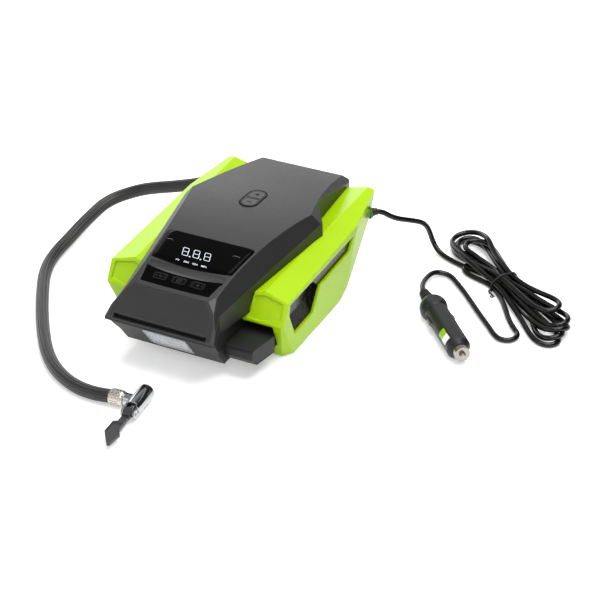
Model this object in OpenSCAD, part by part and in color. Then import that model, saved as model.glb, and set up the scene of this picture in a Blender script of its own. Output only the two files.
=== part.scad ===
// Portable tyre inflator: arched black housing between two green side pods,
// air hose with a lever chuck, and a 12 V lead with its plug.
// Millimetres, +Z up, +Y to the rear, origin under the middle of the body on the surface.

/* [Housing] */
// Overall length of the black housing
housing_l = 278; // [270:1:290]
// Height of the crown of the top cover above the surface
crown_h = 88.3; // [87:0.1:91]
// Radius of the arch along the top cover
arch_r = 500; // [460:5:600]
// Distance from the front lip to the crown of the arch
crown_from_front = 151; // [140:1:160]
// Wall thickness of the housing shells
shell_t = 2.5; // [2:0.1:2.8]
// Height of the underside of the base above the surface
base_clear = 12.4; // [11:0.1:13]
// Width of the base between the pods
base_w = 94; // [90:0.5:95]
// Height of the parting line between base and top cover
split_z = 46.5; // [45.5:0.1:47]
// Height of the shadow groove above the parting line at the nose
groove_h = 5; // [3:0.1:6]
// Depth of the shadow groove
groove_d = 3.2; // [2.6:0.1:4]
// Depth of the front lip under the groove
lip_d = 2.8; // [2:0.1:3.5]
// Lean of the nose of the base, from the vertical
nose_lean = 35.8; // [33:0.2:38]

/* [Top cover outline] */
// Greatest width of the top cover
wide_w = 136; // [132:0.5:138]
// Width of the cover where the nose begins to flare
nose_w = 93; // [90:0.5:94]
// Width across the lip of the nose
lip_w = 104; // [101:0.5:106]
// Length of the flared nose
nose_l = 20.5; // [18:0.5:22]
// Width at the root of the tail
tail_root_w = 105; // [102:0.5:107]
// Width at the rear end of the tail
tail_w = 96; // [94:0.5:99]
// Length of the narrow tail
tail_l = 84.5; // [82:0.5:87]
// Length of the slanted step from the tail to the wide part
jog_l = 21.5; // [18:0.5:24]
// Radius of the rear corners of the tail
tail_r = 8; // [5:0.5:10]
// Slope of the front face, from the horizontal
slope_angle = 44.3; // [43.5:0.1:46]
// Distance from the lip back to the foot of the front face
slope_back = 2.7; // [2:0.1:3.5]
// Width of the flat top at the widest place
top_flat_w = 123.2; // [121:0.2:125]

/* [Display and keys] */
// Front edge of the display window, from the front lip
display_front = 58.1; // [57:0.1:59]
// Length of the display window
display_l = 32.3; // [30:0.1:33]
// Width of the display window at the rear
display_w_rear = 84; // [80:0.5:85]
// Width of the display window at the front
display_w_front = 78; // [74:0.5:79]
// Thickness of the display window
lens_t = 1.4; // [1.2:0.1:1.5]
// Front edge of the key strip, from the front lip
strip_front = 27.7; // [27:0.1:28.5]
// Length of the key strip at its ends
strip_l = 18.8; // [18:0.1:19.5]
// Width of the key strip at the rear
strip_w_rear = 72; // [70:0.5:74]
// Width of the key strip at the front
strip_w_front = 65; // [63:0.5:67]
// How far the strip and window edges bow to the front
edge_bow = 4; // [3:0.5:4.5]
// Width of one key
key_w = 14.5; // [13.5:0.5:15.5]
// Length of one key
key_l = 8; // [7:0.5:9]
// Spacing of the three keys
key_pitch = 17.8; // [17.2:0.2:18.4]
// Gap around every button
button_gap = 0.3; // [0.2:0.05:0.4]
// Travel of the keys
key_travel = 0.8; // [0.5:0.1:1]
// Centre of the two-way button, from the front lip
pill_from_front = 171.2; // [168:0.2:174]
// Length of the two-way button
pill_l = 34; // [32:0.5:36]
// Width of the two-way button
pill_w = 18; // [17:0.5:19]
// Travel of the two-way button halves
pill_travel = 1.2; // [0.8:0.1:1.4]

/* [Side pods] */
// Overall width over the pods
pods_w = 172; // [170:0.5:174]
// Thickness of the pod shells
pod_t = 2.6; // [2.2:0.1:3]
// Height of the front ridge of the pods
ridge_h = 63.6; // [62.8:0.1:64.2]
// Distance of the ridge from the middle
ridge_x = 63.3; // [62.7:0.1:64]
// Distance of the inner edge of a pod's foot from the middle
foot_in_x = 69; // [68.5:0.1:70]
// Length of the pods on the surface
pod_foot_l = 102.7; // [100:0.1:105]
// Overall length of the pods at the top
pod_l = 208.4; // [205:0.1:211]
// Distance from the housing lip back to the pod noses
pod_back = 57.6; // [56:0.2:59]
// Depth of the recessed panel in the pod nose
panel_d = 1.2; // [0.8:0.1:1.5]
// Width of the rim around the recessed panel
panel_rim = 3.6; // [3:0.1:4.5]
// Thickness of the rubber feet that show under the pods
foot_show = 1.5; // [1:0.1:2]
// Depth of the pocket behind the wide part of the window
pocket_d = 5.5; // [4.5:0.1:6]

/* [Work light] */
// Width of the work light lens
light_w = 41.6; // [38:0.2:44]
// Height of the work light lens along the nose
light_l = 27.6; // [25:0.2:28]

/* [Pump] */
// Teeth on the motor pinion
pinion_teeth = 10; // [9:1:12]
// Teeth on the drive gear
gear_teeth = 50; // [44:1:52]
// Gear module
gear_m = 1; // [0.9:0.05:1.05]
// Thickness of the drive gear
gear_t = 7.5; // [6:0.5:8]
// Radius of the crank, half the stroke
crank_r = 9; // [7:0.5:10]
// Radius of the cylinder bore
bore_r = 11; // [10:0.5:12]
// Radial running clearance of turning and sliding pieces
run_gap = 0.08; // [0.05:0.01:0.1]
// Radius of the motor can
motor_r = 18; // [16:0.5:18.5]
// Length of the motor can
motor_l = 42; // [38:1:43]
// Centre-to-centre length of the connecting rod
rod_l = 44; // [42:0.5:46]

/* [Hose and chuck] */
// Outside diameter of the air hose
hose_d = 11.8; // [10:0.2:12]
// Radius of the chuck body
chuck_r = 7.4; // [7:0.1:7.6]
// Length of the chuck body
chuck_l = 30; // [28:0.5:32]
// Radius of the valve socket, for an 8 mm tyre valve
valve_r = 4.15; // [4.1:0.01:4.3]
// Depth of the valve socket
valve_depth = 9; // [8:0.5:10]
// Radius of the lever pin
lever_pin_r = 1.2; // [1:0.1:1.4]
// Length of the chuck lever from its pin
lever_l = 44; // [40:0.5:46]

/* [Cord and plug] */
// Width of the power cord
cord_d = 5; // [4.4:0.1:5.4]
// Radius of the straight barrel of the plug
barrel_r = 10.5; // [10.2:0.05:10.6]
// Radius of the round grip of the plug
grip_r = 12.5; // [12:0.1:13.5]
// Distance from the grip centre to the plug shoulder
barrel_l = 66; // [62:0.5:68]
// Radius of the sprung centre pin
pin_r = 2.6; // [2:0.1:2.8]
// Travel of the centre pin and of the side contacts
contact_travel = 1.4; // [1:0.1:1.6]

/* [Hidden] */

// General clearances and tolerances
fit = 0.15;        // play between fixed pieces that drop into each other
seat = 0.3;        // gap between curved pieces that nearly touch
eps = 0.01;        // cut overlap
big = 400;         // larger than the whole part
round_fn = 48;     // facets of ordinary round shapes
arch_fn = 360;     // facets of the arch

// ---- Geometry helpers ----

function unit(v) = v / norm(v);
function turn_left(v) = [-v.y, v.x];
function corner_shift(u, v) = (turn_left(u) + turn_left(v)) / (1 + u * v);

// Outline moved inwards by t on every side, for corners listed anticlockwise
function inset(p, t) = [for (i = [0:len(p) - 1])
    let (u = unit(p[i] - p[(i + len(p) - 1) % len(p)]), v = unit(p[(i + 1) % len(p)] - p[i]))
    p[i] + t * corner_shift(u, v)];

// Outline with every corner rounded to radius r
function rounded(p, r, steps = 5) = [for (i = [0:len(p) - 1])
    let (u = unit(p[i] - p[(i + len(p) - 1) % len(p)]), v = unit(p[(i + 1) % len(p)] - p[i]),
        turn = atan2(u.x * v.y - u.y * v.x, u * v),
        start = p[i] - u * r * tan(abs(turn) / 2),
        centre = start + turn_left(u) * r * sign(turn),
        from = atan2(start.y - centre.y, start.x - centre.x))
    for (k = [0:steps]) centre + r * [cos(from + turn * k / steps), sin(from + turn * k / steps)]];

function mirrored(p) = [for (i = [len(p) - 1:-1:0]) [-p[i].x, p[i].y]];

// Everything on the outer side of a plane through p, whose normal points to azimuth az and
// rises by el; depth moves the plane inwards
module beyond(p, az, el, depth = 0)
    translate(p) rotate([0, -el, az]) translate([-depth, -big / 2, -big / 2]) cube(big);

module both_sides() {
    children();
    mirror([1, 0, 0]) children();
}

// Outline in the Y-Z plane, extruded from x0 to x1
module side_slab(p, x0, x1)
    translate([x0, 0, 0]) rotate([90, 0, 90]) linear_extrude(x1 - x0) polygon(p);

// Outline in the X-Z plane, extruded from y0 to y1
module front_slab(p, y0, y1)
    translate([0, y1, 0]) rotate([90, 0, 0]) linear_extrude(y1 - y0) polygon(p);

module ring(r_out, r_in, h, fn = round_fn)
    difference() {
        cylinder(r = r_out, h = h, $fn = fn);
        translate([0, 0, -eps]) cylinder(r = r_in, h = h + 2 * eps, $fn = fn);
    }

module along_x() rotate([0, 90, 0]) children();
module along_y() rotate([-90, 0, 0]) children();

// ---- Housing form ----

front_y = -housing_l / 2;
rear_y = housing_l / 2;
crown_y = front_y + crown_from_front;
nose_y = front_y + nose_l;
jog_rear_y = rear_y - tail_l;
jog_front_y = jog_rear_y - jog_l;
slope_y = front_y + slope_back;
slope_z = split_z + groove_h;
slope_lean = 90 - slope_angle;

function arch_z(y) = crown_h - arch_r + sqrt(arch_r * arch_r - (y - crown_y) * (y - crown_y));
function arch_tilt(y) = -asin((y - crown_y) / arch_r);

// Places things on the arch, square to its surface
module on_arch(y, x = 0) translate([x, y, arch_z(y)]) rotate([arch_tilt(y), 0, 0]) children();

module arch_body(depth)
    translate([0, crown_y, crown_h - arch_r]) along_x()
        cylinder(r = arch_r - depth, h = big, center = true, $fn = arch_fn);

// Plan outline of the top cover, half of it
cover_half = [[lip_w / 2, front_y], [nose_w / 2, nose_y], [wide_w / 2, jog_front_y],
    [tail_root_w / 2, jog_rear_y], [tail_w / 2, rear_y - tail_r],
    for (a = [15:15:75]) [tail_w / 2 - tail_r + tail_r * cos(a), rear_y - tail_r + tail_r * sin(a)],
    [tail_w / 2 - tail_r, rear_y]];
cover_plan = concat(cover_half, mirrored(cover_half));

// Lean of the side chamfers, of the cheeks at the nose, of the tail chamfers and of the
// small facets where the front face meets the crown
side_cham = [-13.4, 39.6];
nose_facet = [-57.8, 43.8];
tail_cham = [17.1, 43.7];
crown_facet = [-51.3, 57];
side_cham_p = [top_flat_w / 2, jog_front_y + 2.9, crown_h - 0.5];
nose_facet_p = [nose_w / 2 + 0.4, nose_y - 3.9, slope_z + 12.9];
crown_facet_p = [nose_w / 2 - 11.3, nose_y + 3, slope_z + 20.25];
tail_cham_p = [tail_root_w / 2, jog_rear_y + 0.7, crown_h - 1.8];

// Outer form of the top cover, moved inwards by depth
module cover_form(depth, from_z)
    difference() {
        intersection() {
            arch_body(depth);
            translate([0, 0, from_z]) linear_extrude(crown_h) polygon(inset(cover_plan, depth));
        }
        both_sides() {
            beyond(side_cham_p, side_cham[0], side_cham[1], depth);
            beyond(nose_facet_p, nose_facet[0], nose_facet[1], depth);
            beyond(crown_facet_p, crown_facet[0], crown_facet[1], depth);
            beyond(tail_cham_p, tail_cham[0], tail_cham[1], depth);
        }
        beyond([0, slope_y, slope_z], -90, slope_lean, depth);
        beyond([0, rear_y - 6, arch_z(rear_y)], 90, 45, depth);
    }

// Window outlines on the top: straight sides, with edges that bow to the front
function bowed(w_front, w_rear, y_front, y_rear, bow_front, bow_rear, n = 8) = concat(
    [for (i = [0:n]) let (t = 2 * i / n - 1) [w_front / 2 * t, y_front - bow_front * (1 - t * t)]],
    [for (i = [0:n]) let (t = 1 - 2 * i / n) [w_rear / 2 * t, y_rear - bow_rear * (1 - t * t)]]);

ledge_w = 1.2;               // width of the ledges that carry the window and the strip
display_y0 = front_y + display_front;
display_y1 = display_y0 + display_l;
display_y = (display_y0 + display_y1) / 2;
display_outline = bowed(display_w_front, display_w_rear, display_y0, display_y1, edge_bow, 0.6);
strip_y0 = front_y + strip_front;
strip_y1 = strip_y0 + strip_l;
strip_y = (strip_y0 + strip_y1) / 2;
strip_outline = bowed(strip_w_front, strip_w_rear, strip_y0, strip_y1, 0.6, edge_bow);
keys_y = strip_y1 - edge_bow - ledge_w - 1 - key_l / 2;
strip_t = 1.6;
pill_y = front_y + pill_from_front;
bezel_w = 1;
pocket_z = shell_t - 0.6;    // depth of the pocket of the two-way button
valley_r = 12;
valley_d = 1.3;

// Prism over a plan outline, through the top of the housing
module top_prism(outline, from_z = 60)
    translate([0, 0, from_z]) linear_extrude(crown_h) polygon(outline);

// Upright prism with round ends, its length along Y
module pill(w, l, z0, z1) {
    translate([-w / 2, -(l - w) / 2, z0]) cube([w, l - w, z1 - z0]);
    for (s = [-1, 1]) translate([0, s * (l - w) / 2, z0]) cylinder(d = w, h = z1 - z0, $fn = round_fn);
}

// Key strip outline as a prism square to the arch, between two depths
module strip_prism(grow, z0, z1)
    on_arch(strip_y) translate([0, -strip_y, z0]) linear_extrude(z1 - z0)
        polygon(inset(strip_outline, -grow));

// The concave valley between the window and the key strip
module valley()
    on_arch((display_y0 + strip_y1 - 2 * edge_bow) / 2)
        translate([0, 0, valley_r - valley_d]) along_x()
            cylinder(r = valley_r, h = strip_w_rear + 2, center = true, $fn = 96);

module top_cover()
    color([0.2, 0.2, 0.21]) {
        difference() {
            cover_form(0, split_z);
            difference() {
                cover_form(shell_t, split_z - 1);
                // wall behind the shadow groove
                translate([-big / 2, front_y - 10, 0])
                    cube([big, 12 + slope_back + groove_d, slope_z + 2]);
            }
            // display window seat and its opening
            intersection() {
                top_prism(inset(display_outline, -fit));
                difference() {
                    arch_body(-5);
                    arch_body(lens_t);
                }
            }
            top_prism(inset(display_outline, ledge_w));
            valley();
            // key strip seat and key opening
            strip_prism(fit, -strip_t, 10);
            strip_prism(-ledge_w, -20, 10);
            // seat and opening of the two-way button
            on_arch(pill_y) pill(pill_w + 2 * fit, pill_l + 2 * fit, -pocket_z, 5);
            on_arch(pill_y) pill(pill_w - 2 * bezel_w, pill_l - 2 * bezel_w, -8, 5);
            // seat of the front panel
            front_panel_form(fit, panel_t, 3);
            // shadow groove at the nose
            translate([8 - lip_w / 2, front_y - 10, split_z + 1.2])
                cube([lip_w - 16, 10 + slope_back + groove_d, groove_h - 1.4]);
        }
        // posts for the housing screws, the main board and the button board
        intersection() {
            cover_form(1, split_z);
            union() {
                for (p = screw_points) translate([p.x, p.y, split_z]) ring(3.6, 1.4, crown_h, 24);
                for (p = board_points) translate([p.x, p.y, board_z + board_t]) ring(2.6, 1, crown_h, 24);
                for (s = [-1, 1]) on_arch(pill_y) translate([0, s * switch_post_y, -switch_z])
                    ring(2.4, 0.9, switch_z, 24);
            }
        }
    }

// ---- Front panel on the slope ----

panel_t = 1.6;
// Length of the slope, from its foot to where it meets the arch
slope_to_arch = [slope_y - crown_y, slope_z - crown_h + arch_r];
slope_along = slope_to_arch * [cos(slope_angle), sin(slope_angle)];
slope_len = sqrt(slope_along * slope_along + arch_r * arch_r - slope_to_arch * slope_to_arch) - slope_along;
panel_half = [[lip_w / 2 - 8, 1.4], [nose_w / 2 - 4.3, slope_len - 11], [nose_w / 2 - 12, slope_len - 1.6]];
panel_outline = concat(panel_half, mirrored(panel_half));

module on_slope() translate([0, slope_y, slope_z]) rotate([slope_angle, 0, 0]) children();

module front_panel_form(grow, depth, rise = 0)
    on_slope() translate([0, 0, -depth]) linear_extrude(depth + rise) polygon(inset(panel_outline, -grow));

module front_panel() color([0.24, 0.24, 0.25]) front_panel_form(0, panel_t);

// ---- Base shell ----

function nose_at(z) = front_y + lip_d - (z - split_z + 2) * tan(nose_lean);
base_side = [[nose_at(base_clear), base_clear], [rear_y - 27, base_clear], [rear_y - 9, 24],
    [rear_y, 40], [rear_y, split_z], [nose_at(split_z), split_z]];
base_front = [[-base_w / 2, base_clear], [base_w / 2, base_clear], [base_w / 2, 27.6],
    [lip_w / 2, split_z - 4.5], [lip_w / 2, split_z], [-lip_w / 2, split_z],
    [-lip_w / 2, split_z - 4.5], [-base_w / 2, 27.6]];
// Plan of the base: the nose flares with the cover, the rest runs straight back
base_half = [[lip_w / 2, front_y], [nose_w / 2 + 0.5, nose_y], [base_w / 2, nose_y + 8],
    [base_w / 2, rear_y - tail_r], for (a = [15:15:75]) [base_w / 2 - tail_r + tail_r * cos(a),
    rear_y - tail_r + tail_r * sin(a)], [base_w / 2 - tail_r, rear_y]];
base_plan = concat(base_half, mirrored(base_half));
flange_t = 2;
floor_z = base_clear + shell_t;
side_hole_y = rear_y - 43;            // where the hose and the lead pass through the walls of the base
side_hole_z = 38.5;

module base_form(depth)
    intersection() {
        side_slab(inset(base_side, depth), -big / 2, big / 2);
        front_slab(inset(base_front, depth), -big / 2, big / 2);
        linear_extrude(crown_h) polygon(inset(base_plan, depth));
    }

// Work light frame: flat on the nose, its local Y up the nose and Z outwards
light_z = (base_clear + split_z - 2) / 2 - 0.7;
light_t = 1.8;
module on_nose() translate([0, nose_at(light_z), light_z]) rotate([90 + nose_lean, 0, 0]) children();

function box_outline(w, l) = [[-w / 2, -l / 2], [w / 2, -l / 2], [w / 2, l / 2], [-w / 2, l / 2]];
function light_outline(grow) = rounded(inset(box_outline(light_w, light_l), -grow), 3 + grow, 4);

screw_points = [for (s = [-1, 1]) each [[s * 41, front_y + 35], [s * 39, rear_y - 31]]];
post_r = 4.4;
head_r = 2.9;
foot_plate_z = 18;           // top of the pads that carry the pump frame

module base_shell()
    color([0.17, 0.17, 0.18]) difference() {
        union() {
            difference() {
                union() {
                    base_form(0);
                    translate([0, 0, split_z - flange_t]) linear_extrude(flange_t) polygon(cover_plan);
                }
                intersection() {
                    translate([0, 0, floor_z]) linear_extrude(crown_h)
                        polygon(inset(base_plan, shell_t));
                    side_slab(inset([for (i = [0:3]) base_side[i], [rear_y, big], [nose_at(big), big]],
                        shell_t), -big / 2, big / 2);
                    translate([-base_w / 2 + shell_t, -big / 2, 0]) cube([base_w - 2 * shell_t, big, big]);
                }
            }
            // screw posts
            for (p = screw_points) translate([p.x, p.y, base_clear])
                cylinder(r = post_r, h = split_z - base_clear, $fn = 32);
            // pads under the pump frame
            for (x = pad_x, y = pad_y) translate([x, y, base_clear])
                cylinder(r = 4, h = foot_plate_z - base_clear, $fn = 24);
            // cradle under the motor
            difference() {
                translate([motor_x0 + 14, motor_y - motor_r * 0.7, base_clear])
                    cube([5, motor_r * 1.4, shaft_z - motor_r - base_clear + 5]);
                motor_space();
            }
        }
        for (x = pad_x, y = pad_y) translate([x, y, floor_z])
            cylinder(r = pad_screw_r, h = foot_plate_z, $fn = 24);
        for (p = screw_points) translate([p.x, p.y, base_clear - eps]) {
            cylinder(r = 1.7, h = split_z, $fn = 24);
            cylinder(r = head_r, h = 6 + 2 * eps, $fn = 24);
        }
        // work light seat and opening
        on_nose() translate([0, 0, -light_t]) linear_extrude(10) polygon(light_outline(fit));
        on_nose() translate([0, 0, -6]) linear_extrude(10) polygon(light_outline(-1.6));
        // holes for the air pipe and the lead
        both_sides() translate([base_w / 2 - 6, side_hole_y, side_hole_z]) along_x()
            cylinder(r = 4.4, h = 12, $fn = 32);
        // cooling slots in the floor
        for (i = [0:6]) translate([-24 + 8 * i - 1.5, 92, base_clear - 1]) cube([3, 14, shell_t + 2]);
        // shadow groove under the flange at the nose
        translate([-big / 2, front_y - 10, base_clear])
            cube([big, 10 + lip_d, split_z - flange_t - base_clear]);
    }

// ---- Side pods ----

pod_nose_y = front_y + pod_back;
pod_nose_z = 40;
pod_rear_y = pod_nose_y + pod_l;
pod_foot_y0 = pod_nose_y + 14.7;
pod_foot_y1 = pod_foot_y0 + pod_foot_l;
pod_in_x = base_w / 2 + seat;
pod_out_x = pods_w / 2;
pod_lean = 59.5;             // slope of the nose face, from the horizontal
pod_side = [[pod_nose_y + 45 / tan(pod_lean), pod_nose_z + 45], [pod_nose_y, pod_nose_z],
    [pod_foot_y0, foot_show], [pod_foot_y1, foot_show], [pod_rear_y - 11, 43],
    [pod_rear_y, 60], [pod_rear_y, pod_nose_z + 45]];
function pod_front(in_x) = [[in_x, base_clear], [foot_in_x, base_clear], [foot_in_x, foot_show],
    [pod_out_x - 1.7, foot_show], [pod_out_x, 45], [pod_out_x, 85], [in_x, 85]];
ridge_p = [ridge_x, pod_nose_y + 12.4, ridge_h];
// The outlines on the flank of a pod are drawn for a nose at Y -81.4 and move with it
function on_flank(p) = [for (q = p) q + [pod_nose_y + 81.4, 0]];
window_side = on_flank([[-21.3, 21.4], [-8.6, 42.4], [52, 44.5], [61.5, 56.9], [-67, 55],
    [-69, 45.4], [-56.6, 20.3]]);
nose_rim = [[pod_in_x, -0.6], [63.4, -2], [86.4, 2.3], [85, 22.6], [ridge_x, 27.2], [51.5, 23.8]];
beak_z = 38;
beak_x = 76;
beak_l = 34;                 // length of the opening under the beak
outlet_p = [pod_out_x - 7.8, pod_rear_y - 19, pod_nose_z + 14.5];

module pod_form(depth, in_x)
    difference() {
        intersection() {
            side_slab(inset(pod_side, depth), 0, big);
            front_slab(inset(pod_front(in_x), depth), -big / 2, big / 2);
        }
        beyond(ridge_p, -10.2, 76.5, depth);
        beyond(ridge_p, 185.8, 75.4, depth);
        beyond([pod_out_x, pod_rear_y - 58, pod_nose_z + 24.4], 10.2, -4.8, depth);
        beyond([pod_out_x + 0.5, pod_nose_y + 1.4, 42], -34.1, -20.2, depth);
    }

module on_pod_nose() translate([0, pod_nose_y, pod_nose_z]) rotate([pod_lean, 0, 0]) children();

module green_pod(outlet_az, outlet_drop, outlet_r, flange_r, open_beak) {
    difference() {
        pod_form(0, pod_in_x);
        pod_form(pod_t, pod_in_x - 10);
        // room for the flange and the flanks of the top cover
        translate([0, 0, split_z - flange_t - seat]) linear_extrude(crown_h)
            polygon(inset(cover_plan, -fit));
        // recessed panel of the nose
        on_pod_nose() translate([0, 0, -panel_d]) linear_extrude(10) polygon(inset(nose_rim, panel_rim));
        // opening under the beak, for the accessory box
        if (open_beak) translate([0, pod_nose_y - 10, base_clear + pod_t])
            cube([beak_x, beak_l, beak_z - base_clear - pod_t]);
        // side window
        side_slab(window_side, pod_out_x - 7, big);
        // hole for the hose or the lead
        on_outlet(outlet_az, outlet_drop) translate([0, 0, -12]) cylinder(r = outlet_r + 0.1, h = 30, $fn = 32);
        on_outlet(outlet_az, outlet_drop) translate([0, 0, flange_z - 0.1])
            cylinder(r = flange_r + 0.1, h = 20, $fn = 32);
    }
    // ribs that stand against the base
    for (y = rib_y) translate([pod_in_x, y - 1.5, base_clear + 1]) cube([14, 3, 12]);
}
rib_y = [pod_nose_y + 47.4, pod_nose_y + 111.4];

// Puts the local Z axis of a piece along the outlet of a pod
module on_outlet(az, drop) translate(outlet_p) rotate([0, 90 + drop, az]) children();

lead_az = 45;
hose_az = 0;                 // the hose leaves straight to the side, and down
hose_drop = 30;
lead_neck_r = 4.4;
flange_z = 1.2;              // where the flanges of the grommet and of the gland start
hose_neck_r = 7.4;
green = [0.61, 0.84, 0.04];

module pod_right() color(green) green_pod(lead_az, 0, lead_neck_r, lead_neck_r + 1.6, true);
module pod_left() color(green) mirror([1, 0, 0])
    green_pod(hose_az, hose_drop, hose_neck_r, hose_neck_r + 1.6, false);

// Black liners behind the side windows, with a pocket where the window is wide
pocket_side = on_flank([[-21, 19], [-8.5, 42.3], [-22.5, 54.4], [-70, 58], [-70, 45], [-57, 18]]);
liner_side = on_flank([[-17.5, 16.5], [-5.5, 38.5], [56, 40.5], [69, 60], [-65, 60], [-73, 47],
    [-60.5, 16.5]]);
pocket_x = pod_out_x - pod_t - 0.9 - pocket_d;
liner_t = 1.6;
module liner()
    difference() {
        intersection() {
            side_slab(liner_side, pocket_x - liner_t, big);
            pod_form(pod_t + 0.1, 0);
        }
        intersection() {
            side_slab(pocket_side, pocket_x, big);
            front_slab([[pocket_x, 34], [pod_out_x - pod_t - 0.6, 20], [100, 20], [100, 62],
                [pocket_x, 62]], -big / 2, big / 2);
        }
        // hollow behind the rear part
        side_slab(on_flank([[0, 43.2], [50, 45], [57, 56], [0, 56]]), 0, pod_out_x - pod_t - 2);
    }
module liner_right() color([0.1, 0.1, 0.1]) liner();
module liner_left() color([0.1, 0.1, 0.1]) mirror([1, 0, 0]) liner();

// Accessory box in the right pod, its end stands out under the beak
acc_y0 = front_y + 27;
acc_y1 = pod_nose_y + 43.4;
acc_h = 16;
acc_z = base_clear + pod_t;
acc_x1 = pocket_x - liner_t - seat;
acc_plan = [[pod_in_x, acc_y0], [73, acc_y0], [78.5, pod_nose_y - 0.5], [beak_x - seat, pod_nose_y + 3],
    [acc_x1, pod_nose_y + 7], [acc_x1, acc_y1 - 6], [pod_in_x + 16, acc_y1 - 6], [pod_in_x + 16, acc_y1],
    [pod_in_x, acc_y1]];
module accessory_box()
    color([0.14, 0.14, 0.15]) difference() {
        translate([0, 0, acc_z]) linear_extrude(acc_h) polygon(acc_plan);
        // slanted underside at the front and the left
        beyond([0, acc_y0, acc_z + 7], -90, -40);
        beyond([pod_in_x, acc_y0, acc_z + 5], 225, -30);
        // bevelled top edge and the hollow inside
        beyond([0, acc_y0, acc_z + acc_h - 2.5], -90, 40);
        translate([pod_in_x + 2.5, acc_y0 + 12, acc_z + 2.5]) cube([20, 58, acc_h - 5]);
    }

module rubber_feet()
    color([0.08, 0.08, 0.08]) both_sides() for (y = foot_y) translate([foot_x, y, 0])
        cylinder(r1 = foot_r - 0.6, r2 = foot_r, h = foot_show, $fn = 32);
foot_x = foot_in_x + 7.5;
foot_r = 6;
foot_y = [pod_foot_y0 + 14, pod_foot_y1 - 14];

// ---- Places of the pump ----

gear_y = 40;
shaft_z = 50;
gear_x0 = 21;
gear_r = gear_m * gear_teeth / 2;
pinion_r = gear_m * pinion_teeth / 2;
motor_y = gear_y + gear_r + pinion_r;
motor_x1 = 4;
motor_x0 = motor_x1 - motor_l;
shaft_r = 1.6;
plate_t = 3.5;
plate_x = motor_x1 + 0.5;    // inner plate, against the front of the motor
outer_x = gear_x0 + gear_t + 2.5;
axle_r = 3;
plate_r = motor_r + 1;       // rounding of the motor plate
outer_t = 3;                 // outer plate and bottom plate of the frame
outer_r = 3 * axle_r;
piston_x = gear_x0 - 5.5;    // plane of the cylinder and of the connecting rod
piston_y = gear_y + crank_r - rod_l;
piston_h = 8;
cylinder_y1 = piston_y + 3;
cylinder_y0 = piston_y - 2 * crank_r - piston_h / 2 - 5.5;
cylinder_wall = 3;
head_l = 11.5;
plate_y0 = cylinder_y0 - 8;
plate_y1 = motor_y + 20;
pad_x = [11.5, 28];
pad_y = [plate_y0 + 4, plate_y1 - 8];
pad_screw_r = 1.3;

// ---- Display, keys and boards ----

board_z = crown_h - 24.3;    // underside of the main board
board_t = 1.6;
board_w = base_w - 22;
board_y0 = front_y + 27;
board_y1 = cylinder_y0 - head_l - 2;
board_points = [for (x = [5 - board_w / 2, board_w / 2 - 5], y = [(display_y0 + strip_y1) / 2 - 1.3, board_y1 - 4]) [x, y]];
switch_z = 8;                // depth of the button board under the crown
switch_t = 1.2;
switch_post_y = pill_l / 2 + 3;

module display_window()
    color([0.03, 0.03, 0.03, 0.8]) intersection() {
        difference() {
            arch_body(0);
            arch_body(lens_t);
        }
        top_prism(display_outline);
    }

// Display module with its frame, on two feet on the main board
display_t = 4.5;
display_gap = 0.6;           // air under the window
module display_module()
    color([0.06, 0.06, 0.06]) {
        on_arch(display_y) translate([0, -display_y, -lens_t - display_gap - display_t - 0.4])
            linear_extrude(display_t) polygon(inset(display_outline, 2 * ledge_w));
        for (s = [-1, 1]) translate([s * display_w_front / 3 - 2, display_y - 8, board_z + board_t])
            cube([4, 16, arch_z(display_y) - lens_t - display_t - 0.4 - board_z - board_t]);
    }

module key_strip()
    color([0.02, 0.02, 0.02]) difference() {
        strip_prism(0, -strip_t, 0);
        for (i = [-1:1]) on_arch(strip_y) translate([i * key_pitch, keys_y - strip_y, -strip_t - 1])
            linear_extrude(5) polygon(rounded(box_outline(key_w + 2 * button_gap,
                key_l + 2 * button_gap), 2, 3));
    }

// Key caps with a stem down to their switches on the main board
key_rise = 0.4;
switch_top = board_z + board_t + 2;
module key_cap(i)
    color([0.05, 0.05, 0.05]) {
        on_arch(strip_y) translate([i * key_pitch, keys_y - strip_y, -strip_t - 1.5]) {
            linear_extrude(strip_t + 1.5 + key_rise) polygon(rounded(box_outline(key_w, key_l), 1.7, 3));
        }
        translate([i * key_pitch, keys_y, switch_top + key_travel + 0.1])
            cylinder(r = 1.5, h = arch_z(keys_y) - strip_t - 1 - switch_top - key_travel - 0.1, $fn = 24);
    }
module key_minus() key_cap(-1);
module key_mode() key_cap(0);
module key_plus() key_cap(1);

module main_board()
    color([0.1, 0.32, 0.16]) {
        difference() {
            translate([-board_w / 2, board_y0, board_z]) cube([board_w, board_y1 - board_y0, board_t]);
            for (p = board_points) translate([p.x, p.y, board_z - 1]) cylinder(r = 1.2, h = 4, $fn = 24);
        }
        // key switches, a buzzer, a pressure sensor and a relay
        for (i = [-1:1]) translate([i * key_pitch - 3, keys_y - 3, board_z + board_t])
            cube([6, 6, switch_top - board_z - board_t]);
        translate([-20, board_y1 - 14, board_z - 7]) cylinder(r = 5, h = 7, $fn = 32);
        translate([4, board_y1 - 20, board_z - 9]) cube([15, 12, 9]);
        translate([-8, board_y0 + 34, board_z - 6]) cube([10, 10, 6]);
    }

module pill_bezel()
    color([0.04, 0.04, 0.04]) on_arch(pill_y) difference() {
        pill(pill_w, pill_l, -pocket_z, 0.3);
        pill(pill_w - 2 * bezel_w, pill_l - 2 * bezel_w, -pocket_z - 1, 1);
    }

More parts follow.
